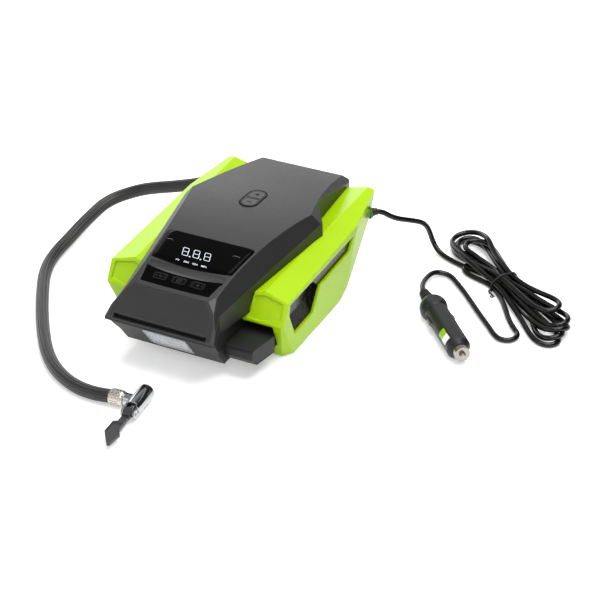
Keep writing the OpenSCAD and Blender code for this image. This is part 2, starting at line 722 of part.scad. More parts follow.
// One half of the two-way button, over its switch
button_flange = 2.4;
module button_half(side)
    color([0.16, 0.16, 0.17]) on_arch(pill_y) {
        intersection() {
            pill(pill_w - 2 * bezel_w - 2 * button_gap, pill_l - 2 * bezel_w - 2 * button_gap,
                -pocket_z - 0.6, 0.25);
            translate([-big / 2, side > 0 ? button_gap / 2 : -big - button_gap / 2, -big / 2]) cube(big);
        }
        translate([0, side * pill_l / 4, -switch_z + 1.5 + pill_travel + 0.1])
            cylinder(r = 1.8, h = switch_z - 1.5 - pill_travel - 0.1 - pocket_z, $fn = 24);
    }
module plus_button() button_half(1);
module minus_button() button_half(-1);

module button_board()
    color([0.1, 0.32, 0.16]) on_arch(pill_y) difference() {
        union() {
            translate([-8, -switch_post_y - 3, -switch_z - switch_t])
                cube([16, 2 * switch_post_y + 6, switch_t]);
            for (s = [-1, 1]) translate([-3, s * pill_l / 4 - 3, -switch_z]) cube([6, 6, 1.5]);
        }
        for (s = [-1, 1]) translate([0, s * switch_post_y, -switch_z - 3]) cylinder(r = 1.1, h = 6, $fn = 24);
    }

// ---- Work light ----

module light_lens()
    color([0.92, 0.94, 0.96, 0.6]) on_nose() translate([0, 0, -light_t]) linear_extrude(light_t + 0.4)
        polygon(light_outline(0));

reflector_d = 7;
module light_reflector()
    color([0.85, 0.86, 0.88]) on_nose() translate([0, 0, -light_t - reflector_d]) difference() {
        linear_extrude(reflector_d) polygon(light_outline(-1.9));
        for (s = [-1, 1]) translate([s * light_w / 4.4, 0, 1.2]) rotate([0, 0, 45])
            cylinder(r1 = 3.6, r2 = 11.8, h = reflector_d, $fn = 4);
        for (s = [-1, 1]) translate([s * light_w / 4.4, 0, -1]) cylinder(r = 2.6, h = 4, $fn = 32);
    }

module led_board()
    color([0.9, 0.9, 0.85]) on_nose() translate([0, 0, -light_t - reflector_d - 1.2]) {
        linear_extrude(1.2) polygon(light_outline(-3));
        for (s = [-1, 1]) translate([s * light_w / 4.4 - 1.6, -1.6, 1.2]) cube([3.2, 3.2, 1]);
    }

// ---- Pump ----

// Involute, for a base radius, at the place where the radius is r
function inv(rb, r) = let (t = sqrt(r * r / rb / rb - 1)) t * 180 / PI - atan(t);

// Gear outline with the first tooth on the local X axis, flanks through a few points
function gear_outline(n, m, add, ded, slack, turn = 0) =
    let (rp = m * n / 2, rb = rp * cos(20), tip = rp + add, root = rp - ded,
        low = max(rb + 0.01, root), half = 90 / n - slack / rp * 90 / PI,
        radii = [low, (low + rp) / 2, rp, (rp + tip) / 2, tip])
    [for (i = [0:n - 1]) let (a = turn + 360 / n * i) each concat(
        low > root ? [root * [cos(a - 90 / n), sin(a - 90 / n)]] : [],
        [for (r = radii) let (b = a - half + inv(rb, r) - inv(rb, rp)) r * [cos(b), sin(b)]],
        [for (k = [4:-1:0]) let (r = radii[k], b = a + half - inv(rb, r) + inv(rb, rp)) r * [cos(b), sin(b)]],
        low > root ? [root * [cos(a + 90 / n), sin(a + 90 / n)]] : [])];

module on_gear() translate([0, gear_y, shaft_z]) children();
module on_motor() translate([0, motor_y, shaft_z]) children();

module motor_space()
    translate([motor_x0 - 1, motor_y, shaft_z]) along_x() cylinder(r = motor_r + 0.05, h = motor_l + 1);

module pump_frame()
    color([0.62, 0.63, 0.65]) difference() {
        union() {
            // bottom plate
            translate([plate_x, plate_y0, foot_plate_z]) cube([outer_x + outer_t - plate_x, plate_y1 - plate_y0, outer_t]);
            // motor plate with a rounded top
            translate([plate_x, motor_y - plate_r, foot_plate_z])
                cube([plate_t, 2 * plate_r, shaft_z - foot_plate_z]);
            translate([plate_x, motor_y, shaft_z]) along_x() cylinder(r = plate_r, h = plate_t);
            // outer plate with a rounded top that carries the gear axle
            translate([outer_x, gear_y - outer_r, foot_plate_z])
                cube([outer_t, 2 * outer_r, shaft_z - foot_plate_z]);
            translate([outer_x, gear_y, shaft_z]) along_x() cylinder(r = outer_r, h = outer_t);
            // saddle under the cylinder
            translate([piston_x - 8, cylinder_y0 + 3, foot_plate_z])
                cube([16, cylinder_y1 - cylinder_y0 - 6, shaft_z - foot_plate_z - 6]);
        }
        on_motor() translate([plate_x - 1, 0, 0]) along_x() cylinder(r = 6.2, h = plate_t + 2);
        on_gear() translate([outer_x - 1, 0, 0]) along_x() cylinder(r = axle_r, h = 5);
        translate([piston_x, cylinder_y0 - 1, shaft_z]) along_y()
            cylinder(r = bore_r + cylinder_wall, h = cylinder_y1 - cylinder_y0 + 2);
        for (x = pad_x, y = pad_y) translate([x, y, foot_plate_z - 1]) cylinder(r = 1.5, h = 6, $fn = 24);
    }

can_t = 1.5;
module motor_can()
    color([0.7, 0.71, 0.73]) on_motor() translate([motor_x0 + 2, 0, 0]) along_x() difference() {
        union() {
            cylinder(r = motor_r, h = motor_l - 2, $fn = 64);
            translate([0, 0, motor_l - 3]) cylinder(r = 6, h = 1 + plate_t, $fn = 48);
        }
        translate([0, 0, -1]) cylinder(r = motor_r - can_t, h = motor_l - 4, $fn = 64);
        cylinder(r = shaft_r + run_gap, h = motor_l + plate_t, $fn = 48);
    }

// Closes the motor can at the fan's end and holds the shaft
module motor_end_cap()
    color([0.25, 0.25, 0.27]) on_motor() translate([motor_x0, 0, 0]) along_x() difference() {
        union() {
            cylinder(r = motor_r, h = 2, $fn = 64);
            cylinder(r = motor_r - can_t - 0.2, h = 4, $fn = 64);
        }
        translate([0, 0, -1]) cylinder(r = shaft_r + run_gap, h = 8, $fn = 48);
        translate([0, 0, 2]) cylinder(r = motor_r - can_t - 2.2, h = 8, $fn = 64);
    }

fan_x = -base_w / 2 + shell_t + 1;
module rotor()
    color([0.75, 0.6, 0.4]) on_motor() {
        translate([fan_x, 0, 0]) along_x() cylinder(r = shaft_r, h = outer_x - 0.5 - fan_x, $fn = 48);
        translate([motor_x0 + 7, 0, 0]) along_x() cylinder(r = 5, h = 5, $fn = 32);
        // armature with its slots
        translate([motor_x0 + 12, 0, 0]) along_x() difference() {
            cylinder(r = motor_r - can_t - 3.5, h = motor_l - 18, $fn = 48);
            for (i = [0:6]) rotate([0, 0, i * 360 / 7]) translate([motor_r - can_t - 6.5, -1, -1])
                cube([8, 2, motor_l]);
        }
    }

module cooling_fan()
    color([0.15, 0.15, 0.16]) on_motor() translate([fan_x, 0, 0]) along_x() difference() {
        union() {
            cylinder(r = 5, h = fan_w, $fn = 32);
            for (i = [0:6]) rotate([0, 0, i * 360 / 7]) translate([4, 0, 0]) rotate([20, 0, 0])
                translate([0, -0.6, 0.6]) cube([motor_r - 5.5, 1.2, fan_w - 1.2]);
        }
        translate([0, 0, -1]) cylinder(r = shaft_r, h = fan_w + 2, $fn = 48);
    }
fan_w = motor_x0 - fan_x - 0.8;

module motor_pinion()
    color([0.78, 0.66, 0.3]) on_motor() difference() {
        side_slab(gear_outline(pinion_teeth, gear_m, 1 * gear_m, 0.85 * gear_m, 0.1, 180 + 180 / pinion_teeth),
            gear_x0 - 1, gear_x0 + gear_t + 1);
        along_x() cylinder(r = shaft_r, h = big, center = true, $fn = 48);
    }

crank_pin_r = 2.5;
module drive_gear()
    color([0.85, 0.85, 0.82]) on_gear() difference() {
        union() {
            side_slab(gear_outline(gear_teeth, gear_m, 0.6 * gear_m, 1.25 * gear_m, 0.1),
                gear_x0, gear_x0 + gear_t);
            translate([gear_x0, 0, 0]) along_x() cylinder(r = 5.5, h = gear_t + 1.5, $fn = 48);
        }
        translate([gear_x0 - 1, 0, 0]) along_x() cylinder(r = axle_r + run_gap, h = gear_t + 4, $fn = 48);
        // recessed web on both faces, with lightening holes
        for (x = [gear_x0 - 1, gear_x0 + gear_t - 1.5]) translate([x, 0, 0]) along_x()
            ring(gear_r - 3.5, 6.5, 2.5);
        for (a = [60:60:300]) rotate([a, 0, 0]) translate([gear_x0 - 1, 14, 0]) along_x()
            cylinder(r = 4, h = gear_t + 2, $fn = 32);
    }

module gear_axle()
    color([0.8, 0.8, 0.82]) on_gear() translate([gear_x0 + 0.3, 0, 0]) along_x() {
        cylinder(r = axle_r, h = outer_x + outer_t - gear_x0 - 0.3);
        translate([0, 0, outer_x + 3 - gear_x0 - 0.3]) cylinder(r = 4.5, h = 1.5);
    }

// Piston and connecting rod are one moulding, with the pressed-in crank pin
module piston_rod()
    color([0.82, 0.82, 0.8]) translate([piston_x, 0, shaft_z]) {
        difference() {
            translate([0, piston_y - piston_h / 2, 0]) along_y() cylinder(r = bore_r - 0.5, h = piston_h);
            translate([0, piston_y - 1.6, 0]) along_y() ring(bore_r + 1, bore_r - 2.2, ring_h + 0.2);
        }
        translate([-2.5, piston_y + piston_h / 2 - 1, -4]) cube([5, rod_l - piston_h / 2 - 3, 8]);
        translate([0, piston_y + rod_l, 0]) {
            translate([-3, 0, 0]) along_x() cylinder(r = 6, h = 6);
            along_x() cylinder(r = crank_pin_r, h = gear_x0 - piston_x - seat);
        }
    }

ring_h = 2;
module piston_ring()
    color([0.2, 0.18, 0.16]) translate([piston_x, piston_y - 1.5, shaft_z]) along_y()
        ring(bore_r - run_gap, bore_r - 2.1, ring_h);

module pump_cylinder()
    color([0.72, 0.73, 0.75]) translate([piston_x, cylinder_y0, shaft_z]) along_y() difference() {
        cylinder(r = bore_r + cylinder_wall, h = cylinder_y1 - cylinder_y0, $fn = 64);
        translate([0, 0, -1]) cylinder(r = bore_r, h = big / 4, $fn = 64);
    }

module cylinder_head()
    color([0.66, 0.67, 0.69]) translate([piston_x, cylinder_y0 - head_l, shaft_z]) {
        along_y() cylinder(r = bore_r + cylinder_wall - 1.5, h = head_l, $fn = 64);
        for (y = [0, 3.5, 7]) translate([0, y, 0]) along_y()
            cylinder(r = bore_r + cylinder_wall + 1, h = 1.5, $fn = 64);
        along_y() translate([0, 0, head_l - 2.5]) cylinder(r = bore_r + cylinder_wall, h = 2.5, $fn = 64);
        // outlet nipple
        translate([-bore_r - 9, 5.6, 0]) along_x() cylinder(r = 3, h = 10, $fn = 32);
    }

// ---- Air pipe, hose and gland ----

// Tube swept along a route, closed at both ends; each ring stands square to the route
module tube(route, d, sides = 10) {
    last = len(route) - 1;
    rings = [for (i = [0:last])
        let (t = unit(route[min(i + 1, last)] - route[max(i - 1, 0)]), u = unit(cross(t, [0, 0, 1])),
            v = cross(u, t))
        for (k = [0:sides - 1]) route[i] + d / 2 * (cos(360 * k / sides) * u + sin(360 * k / sides) * v)];
    walls = [for (i = [0:last - 1], k = [0:sides - 1]) let (a = i * sides, n = (k + 1) % sides)
        each [[a + k, a + n, a + sides + n], [a + k, a + sides + n, a + sides + k]]];
    ends = [[for (k = [sides - 1:-1:0]) k], [for (k = [0:sides - 1]) last * sides + k]];
    polyhedron(rings, concat(walls, ends), convexity = 10);
}

function heading(az, el) = [cos(el) * cos(az), cos(el) * sin(az), sin(el)];

hose_gland_l = 11;
hose_az_left = 180 - hose_az;
hose_dir = heading(hose_az_left, -hose_drop);
hose_outlet = [-outlet_p.x, outlet_p.y, outlet_p.z];
module hose_gland()
    color([0.16, 0.3, 0.08]) mirror([1, 0, 0]) on_outlet(hose_az, hose_drop) difference() {
        union() {
            translate([0, 0, -7]) cylinder(r = hose_neck_r, h = hose_gland_l + 7, $fn = 48);
            translate([0, 0, flange_z]) cylinder(r1 = hose_neck_r + 1.6, r2 = hose_neck_r + 0.4,
                h = hose_gland_l - flange_z - 3, $fn = 48);
        }
        translate([0, 0, -8]) cylinder(r = pipe_d / 2 + 0.1, h = 8 + hose_gland_l - 2, $fn = 32);
    }

pipe_d = 5;
pipe_route = [[piston_x - bore_r - 9, cylinder_y0 - head_l + 5.6, shaft_z],
    [-12, cylinder_y0 - head_l + 5.6, shaft_z], [-21, -27, 43], [-27, -21, 32], [-30, -6, 24.5],
    [-30, 18, 22], [-30, 42, 22], [-31, 66, 22.5], [-34, 84, 27], [-39, 92.5, 34],
    [-47, side_hole_y, side_hole_z], [-55, side_hole_y + 2, 44.5], [-60, side_hole_y + 5.5, 53],
    [-65, side_hole_y + 9.5, 59.5],
    hose_outlet - 7 * hose_dir];
module air_pipe()
    color([0.3, 0.3, 0.32]) tube(pipe_route, pipe_d, 8);

// Frame of the chuck: its X axis points to the tip of the lever
chuck_o = [6.5, -186];
chuck_z = 7.6;
chuck_turn = -85;
function chuck_at(p) = chuck_o + [p.x * cos(chuck_turn) - p.y * sin(chuck_turn),
    p.x * sin(chuck_turn) + p.y * cos(chuck_turn)];
hose_end = [1, -24.2];       // where the hose meets its ferrule, in the frame of the chuck
hose_route = [hose_outlet + hose_gland_l * hose_dir, [-95.5, 107.8, 45], [-102.5, 106.9, 42.4],
    [-109.9, 105.3, 40.4], [-124, 102.2, 37], [-139.2, 98.5, 34], [-153.5, 94.5, 30.5],
    [-166.5, 87.2, 26.6], [-176, 78.5, 23.4],
    [-181.9, 67.5, 20.6], [-184.5, 50.5, 17.4], [-185.4, 30, 14.4], [-186.3, 11.4, 10.5],
    [-186.5, -8, 7.6], [-183.6, -26.2, 6.3], [-174.6, -49.2, 6], [-158.6, -76.8, 6],
    [-140.1, -105.4, 6], [-121, -132.1, 6], [-102.2, -155, 6], [-84.3, -171.4, 6], [-66.8, -182.2, 6],
    [-49.5, -188.6, 6.2], [-32, -190.6, 6.9], concat(chuck_at(hose_end), chuck_z)];
module air_hose()
    color([0.13, 0.13, 0.13]) tube(hose_route, hose_d, 12);

// ---- Chuck ----

module on_chuck() translate([chuck_o.x, chuck_o.y, chuck_z]) rotate([0, 0, chuck_turn]) children();

chuck_x0 = 13 - chuck_l;     // valve end, along the chuck
chuck_x1 = 13;               // rear end of the barrel, where the lever's fork starts
rim_r = 2.6;                 // rounding of the rim at the valve end
hinge_x = chuck_x1 + 4.5;
seal_x = chuck_x0 + valve_depth;
seal_l = 3;
seal_r = 6;
plunger_r = 3;
plunger_travel = 1;
cam_r = 3.6;
cam_offset = 1;              // the lever's barrel turns off its centre and pushes the plunger
cam_gap = 0.35;
fork_in = 4.2;
fork_t = 2;
collar_x = 1;

module hose_ferrule()
    color([0.85, 0.82, 0.74]) on_chuck() translate([collar_x, hose_end.y, 0]) along_y() {
        cylinder(r = 6.6, h = 12.4, $fn = 48);
        for (a = [0:20:340]) rotate([0, 0, a]) translate([6.3, -0.6, 1.4]) cube([0.9, 1.2, 7.4]);
        translate([0, 0, 10]) cylinder(r1 = 7, r2 = 6.2, h = 2.4, $fn = 48);
    }

module chuck_body()
    color([0.8, 0.81, 0.83]) on_chuck() difference() {
        union() {
            // barrel with a rounded rim at the valve end
            rotate([0, 90, 0]) translate([0, 0, chuck_x0]) rotate_extrude($fn = 64)
                polygon(concat([[0, 0]], [for (a = [0:18:90])
                    [chuck_r - rim_r + rim_r * sin(a), rim_r - rim_r * cos(a)]],
                    [[chuck_r, chuck_l], [0, chuck_l]]));
            // collar of the hose connection
            translate([collar_x, hose_end.y + 12.4, 0]) along_y()
                cylinder(r1 = 5.6, r2 = 6.2, h = -hose_end.y - 12.4, $fn = 48);
            // fork
            for (s = [-1, 1]) translate([chuck_x1 - 3, s * (fork_in + fork_t / 2) - fork_t / 2, -3.6])
                cube([hinge_x - chuck_x1 + 3, fork_t, 7.2]);
            for (s = [-1, 1]) translate([hinge_x, s * (fork_in + fork_t / 2) - fork_t / 2, 0]) along_y()
                cylinder(r = 3.6, h = fork_t, $fn = 48);
        }
        // valve socket, seal seat and plunger bore
        translate([chuck_x0 - 1, 0, 0]) along_x() cylinder(r = valve_r, h = valve_depth + 1.01, $fn = 64);
        translate([seal_x, 0, 0]) along_x() cylinder(r = seal_r + 0.05, h = seal_l + 0.1, $fn = 48);
        along_x() cylinder(r = plunger_r, h = big, $fn = 64);
        translate([seal_x, 0, 0]) along_x() cylinder(r = plunger_r, h = -seal_x + 1, $fn = 64);
        // room for the lever's barrel between the cheeks
        translate([chuck_x1 - 1.4, -fork_in, -10]) cube([20, 2 * fork_in, 20]);
        // long slot in the side
        for (s = [-1, 1]) translate([4 * s, 0, 0]) rotate([-25, 0, 0]) along_y()
            cylinder(r = 1.5, h = 20, $fn = 32);
        rotate([-25, 0, 0]) translate([-4, 0, -1.5]) cube([8, 20, 3]);
        // hinge pin holes
        translate([hinge_x, -10, 0]) along_y() cylinder(r = lever_pin_r, h = 20, $fn = 48);
    }

module lever_pin()
    color([0.7, 0.7, 0.72]) on_chuck() translate([hinge_x, -fork_in - fork_t - 0.6, 0]) along_y()
        cylinder(r = lever_pin_r, h = 2 * (fork_in + fork_t + 0.6), $fn = 48);

lever_plan = [[5, -3], [14, -3], [15.5, -6.5], [30.1, -7], [lever_l - 1, 1], [lever_l, 2.6],
    [lever_l - 1, 4], [29.2, 6.3], [24.5, 3.4], [5, 3]];
module chuck_lever()
    color([0.27, 0.27, 0.28]) on_chuck() translate([hinge_x, 0, 0]) difference() {
        union() {
            translate([0, -fork_in + 0.15, cam_offset]) along_y()
                cylinder(r = cam_r, h = 2 * fork_in - 0.3, $fn = 64);
            translate([0, -3.4, -1.5]) cube([6.5, 6.8, 4.6]);
            translate([0, 0, -1.6]) linear_extrude(3.2) polygon(lever_plan);
        }
        translate([0, -10, 0]) along_y() cylinder(r = lever_pin_r + run_gap, h = 20, $fn = 48);
        // chevron step on the paddle
        translate([0, 0, 1]) linear_extrude(2)
            polygon([[16.5, -5.5], [28.8, -5.8], [31, 0], [28, 5], [25.5, 2.6], [17, 2.4]]);
    }

plunger_x0 = seal_x + seal_l + plunger_travel + seat;
plunger_x1 = hinge_x - cam_r - cam_gap;
module chuck_plunger()
    color([0.75, 0.66, 0.4]) on_chuck() along_x()
        translate([0, 0, plunger_x0]) cylinder(r = plunger_r - run_gap, h = plunger_x1 - plunger_x0, $fn = 64);

module chuck_seal()
    color([0.1, 0.1, 0.1]) on_chuck() translate([seal_x + 0.05, 0, 0]) along_x()
        ring(seal_r, valve_r - 0.25, seal_l);

// ---- Power lead ----

lead_gland_l = 9;
lead_dir = heading(lead_az, 0);
module cord_grommet()
    color([0.16, 0.34, 0.06]) on_outlet(lead_az, 0) {
        translate([0, 0, -6]) cylinder(r = lead_neck_r, h = 8, $fn = 48);
        translate([0, 0, flange_z]) cylinder(r1 = lead_neck_r + 1.6, r2 = 5, h = 2.4, $fn = 48);
        translate([0, 0, 2]) cylinder(r1 = lead_neck_r, r2 = 3.2, h = lead_gland_l - 2, $fn = 48);
    }

cord_near_route = [outlet_p + lead_gland_l * lead_dir, [89.5, 118, 52.5], [95, 121.5, 48.5],
    [100.5, 126.5, 44.8], [106, 134, 41], [111.5, 141.5, 37.3], [116, 148.5, 33], [119.3, 153.2, 27],
    [121.5, 155.7, 19.5], [124.3, 156, 12.3], [129, 153.8, 6.8], [136, 150.3, 3.6], [144.5, 146.3, 2.7],
    [153, 142.5, 2.7], [161, 139.5, 2.9]];
module cord_near()
    color([0.1, 0.1, 0.1]) tube(cord_near_route, cord_d, 10);

hank_base = 1;
hank_h = 12.5;
hank_outline = [[133, 172], [172, 126], [213, 104], [254, 55], [271, 43], [281, 55], [279, 84],
    [266, 114], [214, 143], [172, 186], [147, 200], [131, 192]];
module cord_hank()
    color([0.1, 0.1, 0.1]) translate([0, 0, hank_base]) linear_extrude(hank_h)
        polygon(rounded(hank_outline, 7, 4));

tie_p = [209, 123];
tie_turn = -40;              // direction of the hank at its waist
tie_w = 9;
module hank_tie()
    color([0.07, 0.07, 0.07]) difference() {
        translate([tie_p.x, tie_p.y, 0]) rotate([0, 0, tie_turn]) translate([-tie_w / 2, -19, 0])
            cube([tie_w, 38, hank_h + 2 * hank_base]);
        difference() {
            translate([0, 0, -1]) linear_extrude(hank_h + 4) polygon(box_outline(2 * big, 2 * big));
            translate([0, 0, -2]) linear_extrude(hank_h + 6) polygon(inset(hank_outline, -1));
        }
        translate([0, 0, hank_base]) linear_extrude(hank_h) polygon(rounded(hank_outline, 7, 4));
    }

plug_o = [170, 47.8, 10.6];
plug_turn = -48.9;
relief_x0 = -29;
relief_x1 = -11;
module on_plug() translate(plug_o) rotate([0, 0, plug_turn]) children();
cord_far_route = [[210.5, 105.8, 5], [216.5, 97, 4], [223.5, 85.8, 3], [230, 75, 2.7], [236.5, 65.5, 2.7],
    [242.5, 57, 2.7], [246, 50, 2.7], [244.5, 44.2, 2.7], [238.5, 42.8, 2.7], [230, 47, 2.7],
    [219, 56.3, 2.7], [206, 68.5, 2.7], [193, 82.5, 2.7], [180.5, 96, 2.7], [169, 108, 2.7],
    [159.5, 116.5, 2.9], [151.5, 119.3, 3.6], [145.5, 115.5, 5], [143, 107, 6.3], [142.7, 97, 7.7],
    [144, 87, 9.2], [146.8, 77.5, 10.3], plug_o + relief_x0 * heading(plug_turn, 0)];
module cord_far()
    color([0.1, 0.1, 0.1]) tube(cord_far_route, cord_d, 10);

module plug_relief()
    color([0.12, 0.12, 0.12]) on_plug() translate([relief_x0, 0, 0]) along_x() {
        cylinder(r1 = 3, r2 = 5, h = relief_x1 - relief_x0, $fn = 48);
        for (i = [0:3]) translate([0, 0, 2.5 + 4 * i]) cylinder(r = 4.6 + 0.5 * i, h = 1.8, $fn = 48);
    }

plug_bore = 5.5;
barrel_x0 = 8;
taper_l = 4;
tip_r = 7.5;
contact_x0 = 11;
contact_l = 18;
contact_w = 3.6;
lamp_x = 53;
lamp_l = 16;
lamp_w = 8;
lamp_tilt = 60;
module on_lamp() translate([lamp_x, 0, 0]) rotate([lamp_tilt, 0, 0]) children();

module plug_body()
    color([0.12, 0.12, 0.12]) on_plug() difference() {
        union() {
            intersection() {
                sphere(r = grip_r, $fn = 64);
                translate([-big / 2, -big / 2, -barrel_r]) cube([big, big, 2 * barrel_r]);
            }
            rotate([0, 90, 0]) rotate_extrude($fn = 64)
                polygon([[0, 2], [barrel_r - 2.5, barrel_x0 - 2], [barrel_r, barrel_x0],
                    [barrel_r, barrel_l], [tip_r, barrel_l + taper_l], [0, barrel_l + taper_l]]);
        }
        along_x() cylinder(r = plug_bore, h = big, $fn = 48);
        translate([relief_x0, 0, 0]) along_x() cylinder(r = 6.2, h = relief_x1 - relief_x0, $fn = 48);
        for (s = [0, 1]) mirror([0, s, 0]) translate([contact_x0 - seat, barrel_r / 2, -contact_w / 2 - seat])
            cube([contact_l + 2 * seat, barrel_r + 2, contact_w + 2 * seat]);
        on_lamp() translate([-lamp_l / 2, -lamp_w / 2, plug_bore - 1]) cube([lamp_l, lamp_w, 10]);
    }

ring_l = 6;
ring_bore = pin_r + run_gap;
module plug_ring()
    color([0.8, 0.8, 0.8]) on_plug() translate([barrel_l + taper_l, 0, 0]) along_x() difference() {
        union() {
            cylinder(r = tip_r - 0.7, h = ring_l, $fn = 48);
            translate([0, 0, -6]) cylinder(r = plug_bore - 0.05, h = 7, $fn = 48);
        }
        translate([0, 0, -7]) cylinder(r = ring_bore, h = ring_l + 10, $fn = 48);
    }

pin_tip = barrel_l + taper_l + ring_l + 4;
pin_collar_x = barrel_l + taper_l - 6 - 2.2;
module plug_pin()
    color([0.82, 0.8, 0.74]) on_plug() along_x() {
        translate([0, 0, pin_collar_x]) cylinder(r = pin_r + 1.6, h = 2, $fn = 48);
        translate([0, 0, pin_collar_x]) cylinder(r = pin_r, h = pin_tip - pin_collar_x - 1, $fn = 48);
        translate([0, 0, pin_tip - 1]) cylinder(r1 = pin_r, r2 = pin_r - 1, h = 1, $fn = 48);
    }

fuse_x0 = 24;
fuse_l = 22;
module plug_fuse()
    color([0.8, 0.82, 0.84]) on_plug() along_x() {
        translate([0, 0, fuse_x0]) cylinder(r = 3, h = fuse_l, $fn = 32);
        for (x = [0, fuse_l - 5]) translate([0, 0, fuse_x0 + x]) cylinder(r = 3.3, h = 5, $fn = 32);
        translate([0, 0, 4]) cylinder(r = plug_bore - 0.05, h = fuse_x0 - 4, $fn = 32);
    }

// Compression spring between the fuse and the pin, four turns
spring_wire = 0.9;
module pin_spring()
    color([0.7, 0.7, 0.7]) on_plug() tube([for (i = [0:48])
        [spring_x0 + (spring_x1 - spring_x0) * i / 48, 3 * cos(i * 30), 3 * sin(i * 30)]], spring_wire, 6);
spring_x0 = fuse_x0 + fuse_l + spring_wire / 2 + 0.05;
spring_x1 = pin_collar_x - spring_wire / 2 - 0.05;

module contact_leaf()
    color([0.82, 0.8, 0.74]) translate([0, 0, -contact_w / 2]) linear_extrude(contact_w)
        polygon([[contact_x0, barrel_r - 2.6], [contact_x0 + contact_l, barrel_r - 2.6],
            [contact_x0 + contact_l, barrel_r - 0.8],
            [contact_x0 + contact_l * 0.65, barrel_r + contact_travel],
            [contact_x0 + contact_l * 0.35, barrel_r + contact_travel], [contact_x0, barrel_r - 0.8]]);
module contact_left() on_plug() contact_leaf();
module contact_right() on_plug() mirror([0, 1, 0]) contact_leaf();

module plug_lamp()
    color([0.5, 0.95, 0.35]) on_plug() on_lamp() translate([-lamp_l / 2 + 0.1, 0, 0]) intersection() {
        along_x() ring(barrel_r + 0.4, plug_bore + 1, lamp_l - 0.2);
        translate([-1, -lamp_w / 2 + 0.1, 0]) cube([lamp_l + 2, lamp_w - 0.2, 20]);
    }

// ---- Screws ----

screw_head_t = 2;
board_screw_l = 9;
pad_screw_l = 7.5;
module screw(head, shank, length)
    union() {
        cylinder(r = head, h = screw_head_t, $fn = 24);
        cylinder(r = shank, h = length, $fn = 24);
    }
module housing_screws()
    color([0.55, 0.55, 0.57]) {
        for (p = screw_points) translate([p.x, p.y, base_clear + 4])
            screw(head_r - 0.2, 1.35, split_z - base_clear + 4);
        for (p = board_points) translate([p.x, p.y, board_z - screw_head_t]) screw(2.2, 0.95, board_screw_l);
        for (x = pad_x, y = pad_y) translate([x, y, foot_plate_z + 5]) mirror([0, 0, 1])
            screw(2.6, pad_screw_r - 0.05, pad_screw_l);
    }

top_cover();
front_panel();
base_shell();
pod_left();
pod_right();
liner_left();
liner_right();
accessory_box();
display_window();
display_module();
key_strip();
key_minus();
key_mode();
key_plus();
pill_bezel();
plus_button();
minus_button();
button_board();
main_board();
light_lens();
light_reflector();
led_board();
pump_frame();
motor_can();
motor_end_cap();
rotor();
cooling_fan();
motor_pinion();
drive_gear();
gear_axle();
piston_rod();
piston_ring();
pump_cylinder();
cylinder_head();
air_pipe();
hose_gland();
air_hose();
hose_ferrule();
chuck_body();
chuck_lever();
lever_pin();
chuck_plunger();
chuck_seal();
cord_grommet();
cord_near();
cord_hank();
hank_tie();
cord_far();
plug_relief();
plug_body();
plug_ring();
plug_pin();
pin_spring();
contact_left();
contact_right();
plug_fuse();
plug_lamp();
housing_screws();
rubber_feet();
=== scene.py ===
"""Looks of the portable tyre inflator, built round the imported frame.

The CAD nodes keep their meshes and get procedural materials. The power lead with its hank, the wire tie, the ribbed
hose and the coil behind the plug's pin take the place of their nodes. New are the display's field with its digits,
arcs and units, and the marks on the keys and buttons.
Places and sizes are in millimetres in the part's frame, and MM turns them into metres, unless a comment says metres.
"""
import math

import bmesh
import bpy
import numpy as np
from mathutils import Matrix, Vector
from mathutils.bvhtree import BVHTree


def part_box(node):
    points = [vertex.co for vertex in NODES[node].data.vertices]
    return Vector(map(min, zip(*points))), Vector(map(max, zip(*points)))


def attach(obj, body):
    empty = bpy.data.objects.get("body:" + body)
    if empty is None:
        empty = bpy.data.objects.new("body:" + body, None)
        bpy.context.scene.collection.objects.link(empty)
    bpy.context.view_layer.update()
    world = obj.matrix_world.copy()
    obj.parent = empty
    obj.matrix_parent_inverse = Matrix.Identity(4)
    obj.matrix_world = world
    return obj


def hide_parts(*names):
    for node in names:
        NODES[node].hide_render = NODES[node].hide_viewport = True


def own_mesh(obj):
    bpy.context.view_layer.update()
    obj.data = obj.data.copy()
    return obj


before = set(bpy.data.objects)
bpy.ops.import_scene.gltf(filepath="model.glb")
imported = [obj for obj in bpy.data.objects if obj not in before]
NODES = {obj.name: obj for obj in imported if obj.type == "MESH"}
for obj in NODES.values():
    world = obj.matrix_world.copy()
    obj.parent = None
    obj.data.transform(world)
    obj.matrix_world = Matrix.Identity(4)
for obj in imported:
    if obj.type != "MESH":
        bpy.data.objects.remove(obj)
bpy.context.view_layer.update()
MM = 0.001
scene = bpy.context.scene

# ---------------------------------------------------------------- camera
# Fitted to the straight edges of the housing in the photo, in metres and degrees.
CAMERA_PLACE = (0.6303, -1.1546, 0.8184)
CAMERA_TILT, CAMERA_TURN = 58.0, 26.13
CAMERA_LENS, CAMERA_SENSOR = 102.28, 36.0

cam_data = bpy.data.cameras.new("camera")
cam = bpy.data.objects.new("camera", cam_data)
scene.collection.objects.link(cam)
cam_data.sensor_width = CAMERA_SENSOR
cam_data.sensor_fit = "HORIZONTAL"
cam_data.lens = CAMERA_LENS
cam_data.clip_start = 0.05
cam_data.clip_end = 20
cam.location = CAMERA_PLACE
cam.rotation_euler = (math.radians(CAMERA_TILT), 0, math.radians(CAMERA_TURN))
scene.camera = cam


# ---------------------------------------------------------------- meshes and lines
def link(obj):
    scene.collection.objects.link(obj)
    return obj


